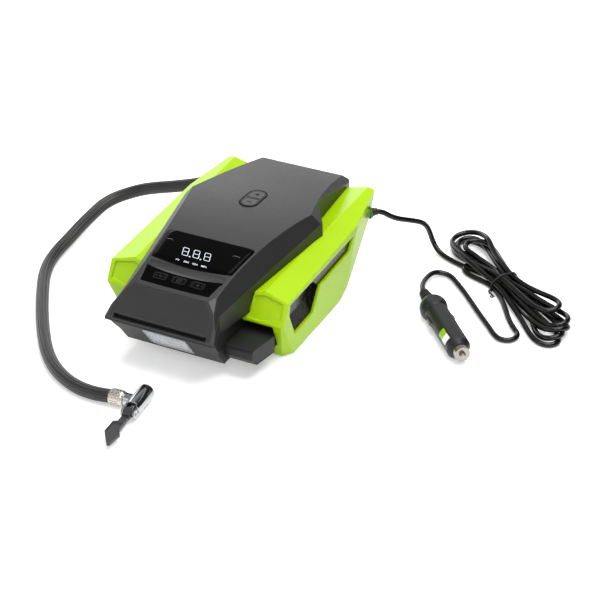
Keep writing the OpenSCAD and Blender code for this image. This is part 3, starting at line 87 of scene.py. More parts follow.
def mesh_object(name, verts, faces, material, smooth=True, uvs=None):
    """A mesh from lists; uvs holds one pair for each corner of each face."""
    me = bpy.data.meshes.new(name)
    me.from_pydata([tuple(v) for v in verts], [], faces)
    if uvs is not None:
        layer = me.uv_layers.new(name="UVMap")
        layer.data.foreach_set("uv", [c for face in uvs for uv in face for c in uv])
    me.materials.append(material)
    me.validate()
    for p in me.polygons:
        p.use_smooth = smooth
    return link(bpy.data.objects.new(name, me))


def catmull(points, step):
    """Points about step apart on a centripetal Catmull-Rom curve through the given ones."""
    p = np.asarray(points, float)
    p = np.vstack([2 * p[0] - p[1], p, 2 * p[-1] - p[-2]])
    out = []
    for i in range(1, len(p) - 2):
        p0, p1, p2, p3 = p[i - 1], p[i], p[i + 1], p[i + 2]
        t0 = 0.0
        t1 = t0 + max(1e-9, np.linalg.norm(p1 - p0)) ** 0.5
        t2 = t1 + max(1e-9, np.linalg.norm(p2 - p1)) ** 0.5
        t3 = t2 + max(1e-9, np.linalg.norm(p3 - p2)) ** 0.5
        n = max(2, int(round(np.linalg.norm(p2 - p1) / step)))
        for k in range(n):
            t = t1 + (t2 - t1) * k / n
            a1 = (t1 - t) / (t1 - t0) * p0 + (t - t0) / (t1 - t0) * p1
            a2 = (t2 - t) / (t2 - t1) * p1 + (t - t1) / (t2 - t1) * p2
            a3 = (t3 - t) / (t3 - t2) * p2 + (t - t2) / (t3 - t2) * p3
            b1 = (t2 - t) / (t2 - t0) * a1 + (t - t0) / (t2 - t0) * a2
            b2 = (t3 - t) / (t3 - t1) * a2 + (t - t1) / (t3 - t1) * a3
            out.append((t2 - t) / (t2 - t1) * b1 + (t - t1) / (t2 - t1) * b2)
    out.append(p[-2])
    return np.array(out)


def distances(line):
    """How far along the line each of its points lies."""
    return np.r_[0, np.cumsum(np.linalg.norm(np.diff(line, axis=0), axis=1))]


def resample(line, step):
    """The same line with points an even distance apart."""
    d = distances(line)
    n = max(2, int(round(d[-1] / step)) + 1)
    t = np.linspace(0, d[-1], n)
    return np.stack([np.interp(t, d, line[:, k]) for k in range(3)], axis=1)


def length_of(line):
    return float(np.linalg.norm(np.diff(line, axis=0), axis=1).sum())


def sweep(name, line, radius, material, sides, section=None):
    """A closed tube of that radius along line. section gives the factor on the radius for an angle.
    The UV map runs round the tube along U and along it, in metres, along V."""
    line = np.asarray(line, float)
    n = len(line)
    tangents = np.gradient(line, axis=0)
    tangents /= np.linalg.norm(tangents, axis=1)[:, None]
    side = np.cross(tangents[0], np.array((0.0, 0.0, 1.0)))
    side /= np.linalg.norm(side)
    along = distances(line)
    verts, faces, uvs = [], [], []
    for i in range(n):
        t = tangents[i]
        side = side - t * side.dot(t)
        side /= np.linalg.norm(side)
        other = np.cross(side, t)
        for k in range(sides):
            w = 2 * math.pi * k / sides
            r = radius * (section(w) if section else 1.0)
            verts.append(line[i] + r * (math.cos(w) * side + math.sin(w) * other))
    for i in range(n - 1):
        for k in range(sides):
            k2 = (k + 1) % sides
            faces.append((i * sides + k, (i + 1) * sides + k, (i + 1) * sides + k2, i * sides + k2))
            u0, u1 = k / sides, (k + 1) / sides
            uvs.append([(u0, along[i]), (u0, along[i + 1]), (u1, along[i + 1]), (u1, along[i])])
    faces.append(tuple(range(sides)))
    uvs.append([(k / sides, 0) for k in range(sides)])
    faces.append(tuple(reversed(range((n - 1) * sides, n * sides))))
    uvs.append([(k / sides, along[-1]) for k in reversed(range(sides))])
    obj = mesh_object(name, verts, faces, material, True, uvs)
    bm = bmesh.new()
    bm.from_mesh(obj.data)
    bmesh.ops.recalc_face_normals(bm, faces=bm.faces)
    bm.to_mesh(obj.data)
    bm.free()
    return obj


# ---------------------------------------------------------------- shader nodes
INPUTS = {
    "color": "Base Color", "rough": "Roughness", "metal": "Metallic", "spec": "Specular IOR Level", "ior": "IOR",
    "glass": "Transmission Weight", "glow": "Emission Color", "glow_power": "Emission Strength",
}


def new_material(name, **values):
    """A material, its tree and its Principled node, with inputs set by the short names of INPUTS."""
    mat = bpy.data.materials.new(name)
    mat.use_nodes = True
    bsdf = next(n for n in mat.node_tree.nodes if n.type == "BSDF_PRINCIPLED")
    for key, value in values.items():
        bsdf.inputs[INPUTS[key]].default_value = (*value, 1.0) if isinstance(value, tuple) else value
    return mat, mat.node_tree, bsdf


def make(nt, kind, inputs=None, **settings):
    """A shader node with its settings, and with inputs that are linked or set, by name or number."""
    node = nt.nodes.new("ShaderNode" + kind)
    for key, value in settings.items():
        setattr(node, key, value)
    for key, value in (inputs or {}).items():
        if isinstance(value, bpy.types.NodeSocket):
            nt.links.new(value, node.inputs[key])
        else:
            node.inputs[key].default_value = value
    return node


def calc(nt, operation, *values):
    """A math node on outputs or numbers."""
    return make(nt, "Math", dict(enumerate(values)), operation=operation).outputs[0]


def noise(nt, scale, detail, rough, stretch=(1, 1, 1)):
    """Soft noise over the piece's own place, 0 to 1."""
    coord = make(nt, "TexCoord")
    place = make(nt, "Mapping", {"Vector": coord.outputs["Object"], "Scale": stretch})
    return make(nt, "TexNoise", {"Vector": place.outputs["Vector"], "Scale": scale, "Detail": detail,
                                 "Roughness": rough}).outputs["Fac"]


def ramp(nt, source, stops):
    """Colours over source: stops are pairs of a position and a colour."""
    node = make(nt, "ValToRGB", {"Fac": source})
    elements = node.color_ramp.elements
    for element, (position, color) in zip((elements[0], elements[1]), (stops[0], stops[-1])):
        element.position = position
        element.color = (*color, 1)
    for position, color in stops[1:-1]:
        elements.new(position).color = (*color, 1)
    return node.outputs["Color"]


def clouds(nt, scale, detail, rough, color, darker, lighter):
    """The colour, uneven between its darker and its lighter multiple."""
    dark = tuple(c * darker for c in color)
    light = tuple(min(1, c * lighter) for c in color)
    return ramp(nt, noise(nt, scale, detail, rough), [(0.3, dark), (0.7, light)])


def edge_factor(nt, radius):
    """0 on flat ground, rising to 1 on an outer or inner edge, and the softened normal."""
    bevel = make(nt, "Bevel", {"Radius": radius}, samples=4)
    geo = make(nt, "NewGeometry")
    dot = make(nt, "VectorMath", {0: bevel.outputs["Normal"], 1: geo.outputs["Normal"]}, operation="DOT_PRODUCT")
    span = make(nt, "MapRange", {"Value": dot.outputs["Value"], "From Min": 0.999, "From Max": 0.90})
    return span.outputs["Result"], bevel.outputs["Normal"]


# ---------------------------------------------------------------- materials
GRAIN_DEPTH = 0.0002     # metres
GLOSS_FINER = 9          # the gloss varies in patches this much finer than the colour
LEAST_ROUGH = 0.02
FLUTE_GRAIN, FLUTE_GRAIN_SHARE, FLUTE_BUMP = 900, 0.6, 0.5


def surface(name, color, rough, vary=0.12, edge=None, highlight_gain=1.6, bump_scale=1500, bump=0.08, rough_vary=0.06,
            cloud=35, **extra):
    """A moulded or metal surface: clouded colour, uneven gloss and fine grain. With edge, a radius in metres, the
    edges are softened, and their colour is made lighter there: a painted highlight."""
    mat, nt, bsdf = new_material(name, color=color, rough=rough, **extra)
    tone = clouds(nt, cloud, 4, 0.55, color, 1 - vary, 1 + vary)
    patches = noise(nt, cloud * GLOSS_FINER, detail=3, rough=0.6)
    gloss = make(nt, "MapRange", {"Value": patches, "To Min": max(LEAST_ROUGH, rough - rough_vary),
                                  "To Max": min(1, rough + rough_vary)})
    fine = noise(nt, bump_scale, detail=2, rough=0.6)
    grain = make(nt, "Bump", {"Height": fine, "Strength": bump, "Distance": GRAIN_DEPTH})
    # Painted highlight: the colour is made lighter on edges, outer and inner alike.
    if edge:
        factor, normal = edge_factor(nt, edge)
        nt.links.new(normal, grain.inputs["Normal"])
        painted_highlight = (*[min(1, c * highlight_gain) for c in color], 1)
        tone = make(nt, "Mix", {"Factor": factor, "A": tone, "B": painted_highlight}, data_type="RGBA").outputs["Result"]
    nt.links.new(tone, bsdf.inputs["Base Color"])
    nt.links.new(gloss.outputs["Result"], bsdf.inputs["Roughness"])
    nt.links.new(grain.outputs["Normal"], bsdf.inputs["Normal"])
    return mat


def fluted(name, color, rough, flutes, depth, pitch=None, **extra):
    """A surface for a swept piece, with fine ribs that run along it, and rings if pitch is given. The depth and the
    pitch are in metres."""
    mat, nt, bsdf = new_material(name, color=color, rough=rough, **extra)
    uv = make(nt, "SeparateXYZ", {0: make(nt, "TexCoord").outputs["UV"]})
    relief = calc(nt, "SINE", calc(nt, "MULTIPLY", uv.outputs["X"], 2 * math.pi * flutes))
    if pitch:
        rings = calc(nt, "SINE", calc(nt, "MULTIPLY", uv.outputs["Y"], 2 * math.pi / pitch))
        relief = calc(nt, "MULTIPLY", relief, rings)
    fine = noise(nt, FLUTE_GRAIN, detail=3, rough=0.6)
    relief = calc(nt, "MULTIPLY_ADD", fine, FLUTE_GRAIN_SHARE, relief)
    grain = make(nt, "Bump", {"Height": relief, "Strength": FLUTE_BUMP, "Distance": depth})
    nt.links.new(grain.outputs["Normal"], bsdf.inputs["Normal"])
    nt.links.new(clouds(nt, 60, 3, 0.5, color, 0.8, 1.25), bsdf.inputs["Base Color"])
    return mat


def two_tone(name, along, origin, split, first, second, rough):
    """Two colours on one piece: second where the way from origin along that direction is more than split, in mm."""
    mat, nt, bsdf = new_material(name, color=first, rough=rough)
    coord = make(nt, "TexCoord")
    shift = make(nt, "VectorMath", {0: coord.outputs["Object"], 1: [c * MM for c in origin]}, operation="SUBTRACT")
    way = make(nt, "VectorMath", {0: shift.outputs["Vector"], 1: along}, operation="DOT_PRODUCT")
    over = calc(nt, "GREATER_THAN", way.outputs["Value"], split * MM)
    tone = clouds(nt, 90, 3, 0.5, first, 0.9, 1.08)
    mix = make(nt, "Mix", {"Factor": over, "A": tone, "B": (*second, 1)}, data_type="RGBA")
    nt.links.new(mix.outputs["Result"], bsdf.inputs["Base Color"])
    return mat


def lens_material():
    """Clear, with ribs across."""
    mat, nt, bsdf = new_material("lens_clear", color=(0.93, 0.95, 0.97), rough=0.10, glass=0.82, ior=1.45)
    ribs = noise(nt, 180, detail=2, rough=0.4, stretch=(6, 1, 1))
    grain = make(nt, "Bump", {"Height": ribs, "Strength": 0.35, "Distance": 0.0006})
    nt.links.new(grain.outputs["Normal"], bsdf.inputs["Normal"])
    return mat


def glow_material():
    """The lit digits: mostly pale, and a little bright of their own."""
    mat, nt, bsdf = new_material("digit_light", color=(0.50, 0.53, 0.56), rough=0.5, glow=(0.92, 0.96, 1.0),
                                 glow_power=0.10)
    spots = noise(nt, 900, detail=2, rough=0.5)
    tone = ramp(nt, spots, [(0.3, (0.70, 0.74, 0.80)), (0.7, (0.80, 0.84, 0.90))])
    nt.links.new(tone, bsdf.inputs["Base Color"])
    return mat


# Where the colour changes on the plug's lamp and on the grommet: from a place, in a direction, so far.
LAMP_FROM, LAMP_SPLIT = (170, 47.8, 10.6), 53.5
LAMP_TURN = math.radians(-48.9)
LAMP_WAY = (math.cos(LAMP_TURN), math.sin(LAMP_TURN), 0)
GROMMET_FROM, GROMMET_SPLIT = (78.2, 108, 54.5), 2.6
GROMMET_WAY = (0.7071, 0.7071, 0)

# With edge, a material gets a painted highlight: its colour is made lighter along the edges.
M = {
    "shell": surface("shell_black", (0.0108, 0.0108, 0.0113), 0.42, edge=0.0011, highlight_gain=3.0, bump_scale=2200,
                     bump=0.22, spec=0.50),
    "shell_low": surface("base_black", (0.0085, 0.0085, 0.0088), 0.48, edge=0.0011, highlight_gain=3.0, bump_scale=2200,
                         bump=0.22, spec=0.30),
    "green": surface("shell_green", (0.345, 0.560, 0.0010), 0.34, vary=0.03, edge=0.0014, highlight_gain=1.25,
                     bump_scale=1400, bump=0.05, spec=0.24),
    "liner": surface("liner_black", (0.0045, 0.0045, 0.0048), 0.28, edge=0.0008, highlight_gain=3.0, spec=0.4),
    "gloss": surface("window_gloss", (0.0018, 0.0018, 0.0020), 0.08, vary=0.05, bump=0.01, rough_vary=0.02,
                     spec=0.03),
    "keys": surface("key_gloss", (0.0030, 0.0030, 0.0032), 0.12, vary=0.05, edge=0.0005, bump=0.02,
                    rough_vary=0.03, spec=0.04),
    "button": surface("button_satin", (0.0165, 0.0165, 0.0170), 0.46, edge=0.0006, highlight_gain=2.5, bump_scale=2200,
                      bump=0.2, spec=0.62),
    "bezel": surface("bezel_black", (0.0035, 0.0035, 0.0037), 0.60, edge=0.0005, highlight_gain=1.6, bump_scale=2200,
                     bump=0.1, spec=0.1),
    "board": surface("board_green", (0.010, 0.085, 0.030), 0.38, vary=0.2, cloud=200),
    "reflector": surface("reflector", (0.85, 0.85, 0.86), 0.16, vary=0.03, metal=1.0),
    "led": surface("led_white", (0.80, 0.80, 0.76), 0.4, vary=0.03),
    "cast": surface("cast_alloy", (0.42, 0.42, 0.43), 0.42, vary=0.1, metal=1.0, bump=0.25, bump_scale=500,
                    edge=0.0006),
    "steel": surface("steel", (0.30, 0.295, 0.28), 0.26, vary=0.06, metal=1.0, bump=0.05, edge=0.0004),
    "copper": surface("copper_rotor", (0.50, 0.20, 0.10), 0.35, vary=0.15, metal=1.0, cloud=300),
    "brass": surface("brass", (0.60, 0.42, 0.16), 0.3, vary=0.08, metal=1.0),
    "nylon": surface("nylon", (0.70, 0.68, 0.60), 0.45, vary=0.04),
    "rubber": surface("seal_rubber", (0.012, 0.012, 0.012), 0.62, vary=0.1),
    "hose": fluted("hose_rubber", (0.0070, 0.0070, 0.0074), 0.30, flutes=48, depth=0.00006, pitch=0.0014,
                   spec=0.50),
    "ferrule": surface("ferrule", (0.52, 0.50, 0.455), 0.26, vary=0.05, metal=1.0, edge=0.0005, bump=0.06),
    "chrome": surface("chrome", (0.44, 0.445, 0.455), 0.06, vary=0.02, metal=1.0, edge=0.0008, highlight_gain=1.2,
                      bump=0.02, rough_vary=0.03),
    "lever": surface("lever_grey", (0.020, 0.0205, 0.022), 0.38, edge=0.0007, highlight_gain=1.8, bump_scale=1800,
                     bump=0.1),
    "cord": fluted("cord_black", (0.0030, 0.0030, 0.0032), 0.17, flutes=2, depth=0.00006, spec=0.34),
    "plug": surface("plug_black", (0.0060, 0.0060, 0.0063), 0.44, edge=0.0008, highlight_gain=4.0, bump_scale=1600,
                    bump=0.16, spec=0.36),
    "nickel": surface("nickel", (0.34, 0.325, 0.295), 0.24, vary=0.04, metal=1.0, edge=0.0004, highlight_gain=1.2,
                      bump=0.04),
    "ink": surface("ink_grey", (0.030, 0.030, 0.032), 0.45, vary=0.03, spec=0.1),
    "dark_metal": surface("contact_dark", (0.030, 0.029, 0.028), 0.34, vary=0.1, spec=0.4, edge=0.0004,
                          highlight_gain=2.5),
    "wire": surface("tie_black", (0.010, 0.010, 0.010), 0.45),
    "lamp": two_tone("lamp_two_tone", LAMP_WAY, LAMP_FROM, LAMP_SPLIT, (0.26, 0.44, 0.004), (0.82, 0.83, 0.85),
                     0.25),
    # The grommets' dark green is the pods' green darkened: painted shade. The black of the cord's grommet beyond the
    # split is its own colour.
    "grommet": two_tone("grommet_painted_shade_two_tone", GROMMET_WAY, GROMMET_FROM, GROMMET_SPLIT, (0.07, 0.20, 0.004),
                        (0.009, 0.009, 0.0095), 0.42),
    "lens": lens_material(),
    "glow": glow_material(),
    "units": surface("unit_print", (0.72, 0.73, 0.75), 0.5, vary=0.05),
}

DRESS = {
    "top_cover": "shell", "front_panel": "shell", "base_shell": "shell_low", "pod_left": "green",
    "pod_right": "green", "liner_left": "liner", "liner_right": "liner", "accessory_box": "shell_low",
    "display_window": "gloss", "display_module": "liner", "key_strip": "gloss", "key_minus": "keys",
    "key_mode": "keys", "key_plus": "keys", "pill_bezel": "bezel", "plus_button": "button",
    "minus_button": "button", "button_board": "board", "main_board": "board", "light_lens": "lens",
    "light_reflector": "reflector", "led_board": "led", "pump_frame": "cast", "motor_can": "steel",
    "motor_end_cap": "nylon", "rotor": "copper", "cooling_fan": "nylon", "motor_pinion": "brass",
    "drive_gear": "nylon", "gear_axle": "steel", "piston_rod": "cast", "piston_ring": "rubber",
    "pump_cylinder": "cast", "cylinder_head": "cast", "air_pipe": "rubber", "hose_gland": "grommet",
    "air_hose": "hose", "hose_ferrule": "ferrule", "chuck_body": "chrome", "chuck_lever": "lever",
    "lever_pin": "steel", "chuck_plunger": "steel", "chuck_seal": "rubber", "cord_grommet": "grommet",
    "cord_near": "cord", "cord_hank": "cord", "hank_tie": "wire", "cord_far": "cord", "plug_relief": "plug",
    "plug_body": "plug", "plug_ring": "nickel", "plug_pin": "nickel", "pin_spring": "steel",
    "contact_left": "dark_metal", "contact_right": "dark_metal", "plug_fuse": "steel", "plug_lamp": "lamp",
    "housing_screws": "steel", "rubber_feet": "rubber",
}
for node, key in DRESS.items():
    obj = NODES[node]
    if not obj.material_slots:
        obj.data.materials.append(M[key])
    for slot in obj.material_slots:
        slot.material = M[key]

# ---------------------------------------------------------------- coil behind the plug's pin
# The pin's way in. The coil is the spring's mesh, copied as it is.
PIN_WAY = np.array([-0.657375, 0.753563, 0.0])

spring_mesh = NODES["pin_spring"].data
spring_points = np.array([v.co[:] for v in spring_mesh.vertices])
reach = spring_points @ PIN_WAY
coil = mesh_object("pin_coil", spring_points, [tuple(f.vertices) for f in spring_mesh.polygons], M["steel"])
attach(coil, "inflator")
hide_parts("pin_spring")
tuple(spring_points[reach.argmax()])
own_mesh(coil)

# ---------------------------------------------------------------- routes of the hose and the lead
HOSE_D = 11.8
HOSE = [
    (-87.73, 108.0, 49.0), (-95.5, 107.8, 45), (-102.5, 106.9, 42.4), (-109.9, 105.3, 40.4), (-124, 102.2, 37),
    (-139.2, 98.5, 34), (-153.5, 94.5, 30.5), (-166.5, 87.2, 26.6), (-176, 78.5, 23.4), (-181.9, 67.5, 20.6),
    (-184.5, 50.5, 17.4), (-185.4, 30, 14.4), (-186.3, 11.4, 10.5), (-186.5, -8, 7.6), (-183.6, -26.2, 6.3),
    (-174.6, -49.2, 6), (-158.6, -76.8, 6), (-140.1, -105.4, 6), (-121, -132.1, 6), (-102.2, -155, 6),
    (-84.3, -171.4, 6), (-66.8, -182.2, 6), (-49.5, -188.6, 6.2), (-32, -190.6, 6.9), (-17.52, -189.11, 7.6),
]
LEAD_D = 5.0
# From the housing down to the hank, and from the hank to the plug.
NEAR = [
    (84.56, 114.36, 54.5), (89.5, 118, 52.5), (95, 121.5, 48.5), (100.5, 126.5, 44.8), (106, 134, 41),
    (111.5, 141.5, 37.3), (116, 148.5, 33), (119.3, 153.2, 27), (121.5, 155.7, 19.5), (124.3, 156, 12.3),
    (129, 153.8, 6.8), (136, 150.3, 3.6), (144.5, 146.3, 2.7), (153, 142.5, 2.7), (161, 139.5, 2.9),
    (175, 134.2, 4), (191.5, 127.3, 5.8),
]
FAR = [
    (210.5, 105.8, 3.6), (216.5, 97, 3.2), (223.5, 85.8, 3), (230, 75, 2.7), (236.5, 65.5, 2.7),
    (242.6, 58.2, 2.7), (246.5, 53.4, 2.7), (248, 48.4, 2.7), (246.2, 42.6, 2.7), (241.4, 39, 2.7),
    (235.4, 38.8, 2.7), (230, 42.2, 2.7), (219, 54, 2.7), (206, 68, 2.7), (193, 82.5, 2.7), (180.5, 96.3, 2.7),
    (169, 108, 2.7), (160.6, 115.6, 2.9), (156.2, 118, 3.1), (151.7, 118.4, 3.6), (147.4, 116.7, 4.3),
    (144.2, 113, 5.2), (142.8, 107.5, 6.2), (142.7, 97, 7.7), (144, 87, 9.2), (146.8, 77.5, 10.3),
    (150.94, 69.65, 10.6),
]
# The hank lies along ALONG with its tie at TIE. A place in it is s along it, t across it and a height.
TIE = np.array([209.0, 123.0])
TURN = math.radians(-41.0)
ALONG = np.array([math.cos(TURN), math.sin(TURN)])
ACROSS = np.array([-math.sin(TURN), math.cos(TURN)])
# Its folds in order. For each: s of the tip, the radius, t of the middle, and the heights on the low and high side.
RIGHT_FOLDS = [(91, 11.0, 9.0, 9.5, 12.5), (97, 11.0, 3.2, 6.0, 9.5), (100.5, 11.0, -2.4, 3.0, 7.5),
               (70, 11.0, 12.0, 13.5, 14.5), (104, 11.0, -7.5, 2.7, 2.7)]
LEFT_FOLDS = [(-85, 14.0, 2.0, 7.0, 10.5), (-74, 12.0, 2.5, 10.0, 13.0), (-88, 15.0, 0.5, 3.5, 5.5),
              (-92.5, 15.5, 1.0, 8.0, 13.5), (-50, 11.0, -9.5, 2.8, 3.4)]
# Where its runs cross the line of the tie: t and the height.
WAIST = [(-2.6, 7.1), (2.6, 7.1), (-5.1, 2.7), (10.2, 2.7), (5.1, 2.7), (7.7, 7.1), (-4.5, 11.4), (4.5, 11.4),
         (-7.8, 7.1), (0.0, 2.7), (-11.0, 2.8)]
FOLD_ANGLES = (-90, -55, -20, 20, 55, 90)
RUN_STATIONS = (0.16, 0.42, 0.7)
RUN_SPREAD = 1.2


def hank_point(s, t, z):
    p = TIE + s * ALONG + t * ACROSS
    return (p[0], p[1], z)


def fold(tip, r, t, z_low, z_high, sign):
    """Round one end: from the low side to the high side at the right end (sign 1), and back at the left end."""
    pts = []
    for w in FOLD_ANGLES:
        a = math.radians(w)
        k = (1 + sign * math.sin(a)) / 2
        pts.append(hank_point(tip - sign * r + sign * r * math.cos(a), t + sign * r * math.sin(a),
                              z_low + (z_high - z_low) * k))
    return pts


def run_between(t0, z0, s1, t1, z1):
    """From the line of the tie out to the place s1, t1, z1 at a fold."""
    return [hank_point(s1 * f, t0 + (t1 - t0) * f ** RUN_SPREAD, z0 + (z1 - z0) * f) for f in RUN_STATIONS]


def hank_route():
    """The hank's turns as they are laid: waist, right fold, waist, left fold, and again."""
    pts = []
    for i, (right, left) in enumerate(zip(RIGHT_FOLDS, LEFT_FOLDS)):
        wt, wz = WAIST[2 * i]
        tip, r, t, z_low, z_high = right
        pts += [hank_point(0, wt, wz)] + run_between(wt, wz, tip - r, t - r, z_low)
        pts += fold(*right, 1)
        wt, wz = WAIST[2 * i + 1]
        pts += run_between(wt, wz, tip - r, t + r, z_high)[::-1] + [hank_point(0, wt, wz)]
        tip, r, t, z_low, z_high = left
        pts += run_between(wt, wz, tip + r, t + r, z_high) + fold(*left, -1)
        wt, wz = WAIST[2 * i + 2]
        pts += run_between(wt, wz, tip + r, t - r, z_low)[::-1]
    return pts + [hank_point(0, *WAIST[-1])]


# ---------------------------------------------------------------- settling the lead
LAID_STEP, SETTLE_STEP, LEAD_STEP = 3.0, 3.2, 1.6   # between points: as laid, while it settles, and of the piece
TOUCH = LEAD_D * 1.01         # distance of two touching turns
NEIGHBOURS = 3.6              # times TOUCH along the lead, within which two points aren't turns of their own
ENDS_LEFT_FREE = 6            # points of each fixed end that may settle too
FADE = 14.0                   # points over which a fixed end gets free
ROUNDS, LATE = 360, 0.8       # the lead no longer sinks in the last fifth
SLACK, SLACK_ROUNDS = 0.045, 150   # how much shorter its steps may get, and over how many rounds
STIFF_NEAR, STIFF_NEAR_TIMES = 0.055, 4
STIFF_WIDE, STIFF_WIDE_TIMES = 0.035, 2
LEAST_RADIUS, BEND_STRIDE = 13.8, 2
UNBEND = 0.4
PUSH, SINK, HOME_PULL, HOLD = 0.9, 0.02, 0.007, 0.9
FLOOR_GAP = 0.15
WAIST_LENGTH, WAIST_HALF, WAIST_PULL = 14.0, 11.5, 0.4


def stiffen(p, free, stride, weight):
    """Straightens p a little, by its fourth differences over that stride."""
    s = stride
    q = p[:-4 * s] - 4 * p[s:-3 * s] + 6 * p[2 * s:-2 * s] - 4 * p[3 * s:-s] + p[4 * s:]
    p[2 * s:-2 * s] -= weight * q * free[2 * s:-2 * s, None]


def limit_bends(p, free, sag):
    """Opens the bends that bow more than sag over BEND_STRIDE points to each side."""
    m = BEND_STRIDE
    bow = 0.5 * (p[:-2 * m] + p[2 * m:]) - p[m:-m]
    size = np.linalg.norm(bow, axis=1)
    over = np.clip(size - sag, 0, None) / np.maximum(size, 1e-9)
    move = bow * over[:, None]
    p[m:-m] += UNBEND * move * free[m:-m, None]
    p[:-2 * m] -= UNBEND / 2 * move * free[:-2 * m, None]
    p[2 * m:] -= UNBEND / 2 * move * free[2 * m:, None]


def push_apart(p, free, i, j):
    """Pushes the points i and j apart where they are less than TOUCH from each other."""
    v = p[j] - p[i]
    dist = np.linalg.norm(v, axis=1)
    hit = dist < TOUCH
    if not hit.any():
        return
    a, b = i[hit], j[hit]
    push = (TOUCH - dist[hit])[:, None] * v[hit] / np.maximum(dist[hit], 1e-6)[:, None]
    move = np.zeros_like(p)
    count = np.zeros(len(p))
    np.add.at(move, a, -0.5 * push)
    np.add.at(move, b, 0.5 * push)
    np.add.at(count, a, 1)
    np.add.at(count, b, 1)
    p += PUSH * move / np.maximum(count, 1)[:, None] * free[:, None]


def hold_length(p, free, step):
    """Brings the points back to that step along the line."""
    v = np.diff(p, axis=0)
    dist = np.linalg.norm(v, axis=1)
    fix = ((dist - step) / np.maximum(dist, 1e-6))[:, None] * v
    w = free[:-1] + free[1:]
    w = np.where(w > 0, w, 1)
    p[:-1] += fix * (free[:-1] / w)[:, None] * HOLD
    p[1:] -= fix * (free[1:] / w)[:, None] * HOLD


def settle(line, keep_head, keep_tail):
    """Lets the lead's turns push each other apart and sink, with a stiffness against bending. That many points at
    the head and the tail stay."""
    p = line.copy()
    home = line.copy()
    n = len(p)
    whole = np.linalg.norm(np.diff(p, axis=0), axis=1).mean()
    from_head = (np.arange(n) - keep_head) / FADE
    from_tail = (n - keep_tail - 1 - np.arange(n)) / FADE
    free = np.clip(from_head, 0, 1) * np.clip(from_tail, 0, 1)
    i, j = np.triu_indices(n, int(math.ceil(NEIGHBOURS * TOUCH / whole)))
    sag = LEAST_RADIUS * (1 - math.cos(BEND_STRIDE * whole / LEAST_RADIUS))
    waist = np.clip(1 - np.abs((home[:, :2] - TIE) @ ALONG) / WAIST_LENGTH, 0, 1) * free
    for k in range(ROUNDS):
        step = whole * (1 - SLACK * min(1.0, k / SLACK_ROUNDS))
        for _ in range(STIFF_NEAR_TIMES):
            stiffen(p, free, 1, STIFF_NEAR)
        for _ in range(STIFF_WIDE_TIMES):
            stiffen(p, free, 2, STIFF_WIDE)
        for _ in range(2):
            limit_bends(p, free, sag)
        push_apart(p, free, i, j)
        if k <= LATE * ROUNDS:
            p[:, 2] -= SINK * free
        p[:, 2] = np.maximum(p[:, 2], TOUCH / 2 + FLOOR_GAP)
        t_of = (p[:, :2] - TIE) @ ACROSS
        over = np.clip(np.abs(t_of) - WAIST_HALF, 0, None) * np.sign(t_of)
        p[:, :2] -= (WAIST_PULL * waist * over)[:, None] * ACROSS
        p += HOME_PULL * (home - p) * free[:, None]
        for _ in range(2):
            hold_length(p, free, step)
    return p


def fixed_points(points):
    """How many points of the settling line stay on this end of the lead."""
    return int(round(length_of(catmull(points, LAID_STEP)) / SETTLE_STEP)) - ENDS_LEFT_FREE


laid = resample(catmull(NEAR + hank_route() + FAR, LAID_STEP), SETTLE_STEP)
lead_line = catmull(settle(laid, fixed_points(NEAR), fixed_points(FAR)), LEAD_STEP)
lead = sweep("power_lead", lead_line * MM, LEAD_D / 2 * MM, M["cord"], sides=16)
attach(lead, "inflator")
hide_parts("cord_near", "cord_hank", "cord_far")

# ---------------------------------------------------------------- wire tie
TIE_R, TIE_STEP = 0.62, 0.7
TIE_CLEAR = 0.6               # between the lead's surface and the middle of the wire
TIE_LOWEST = 0.8
TAIL_LOWEST = 0.9
TIE_WOBBLE = 0.8
TIE_CORNER = 15               # degrees
CROSS_REACH = 22              # runs that cross the tie's line further out are not in the tie
TWIST_STEP, TWIST_R = 1.3, 0.55
OUT = np.array([*(-ACROSS), 0.0])
SIDE = np.array([*ALONG, 0.0])
UP = np.array([0, 0, 1.0])


def crossings(line):
    """Where the line crosses the tie's plane: t and the height."""
    s = (line[:, :2] - TIE) @ ALONG
    found = []
    for k in np.where(s[:-1] * s[1:] <= 0)[0]:
        f = s[k] / (s[k] - s[k + 1]) if s[k] != s[k + 1] else 0
        q = line[k] + f * (line[k + 1] - line[k])
        t = float((q[:2] - TIE) @ ACROSS)
        if abs(t) < CROSS_REACH:
            found.append((t, q[2]))
    return np.array(found)


def tie_loop(cross):
    """The tie once round what crosses its plane: a many-sided outline of it, closed at its low side."""
    mid = (cross.min(axis=0) + cross.max(axis=0)) / 2
    hull = []
    for w in np.radians(np.arange(0, 360, TIE_CORNER)):
        d = np.array([math.cos(w), math.sin(w)])
        hull.append((w, ((cross - mid) @ d).max() + LEAD_D / 2 + TIE_CLEAR))
    corners = []
    for (w0, h0), (w1, h1) in zip(hull[-1:] + hull[:-1], hull):
        den = math.sin(w1 - w0)
        corners.append(mid + np.array([(h0 * math.sin(w1) - h1 * math.sin(w0)) / den,
                                       (h1 * math.cos(w0) - h0 * math.cos(w1)) / den]))
    ring = [np.array(hank_point(TIE_WOBBLE * math.sin(k), c[0], max(c[1], TIE_LOWEST)))
            for k, c in enumerate(corners)]
    first = min(range(len(corners)), key=lambda k: corners[k][0])
    return [ring[(first + k) % len(ring)] for k in range(len(ring) + 1)]


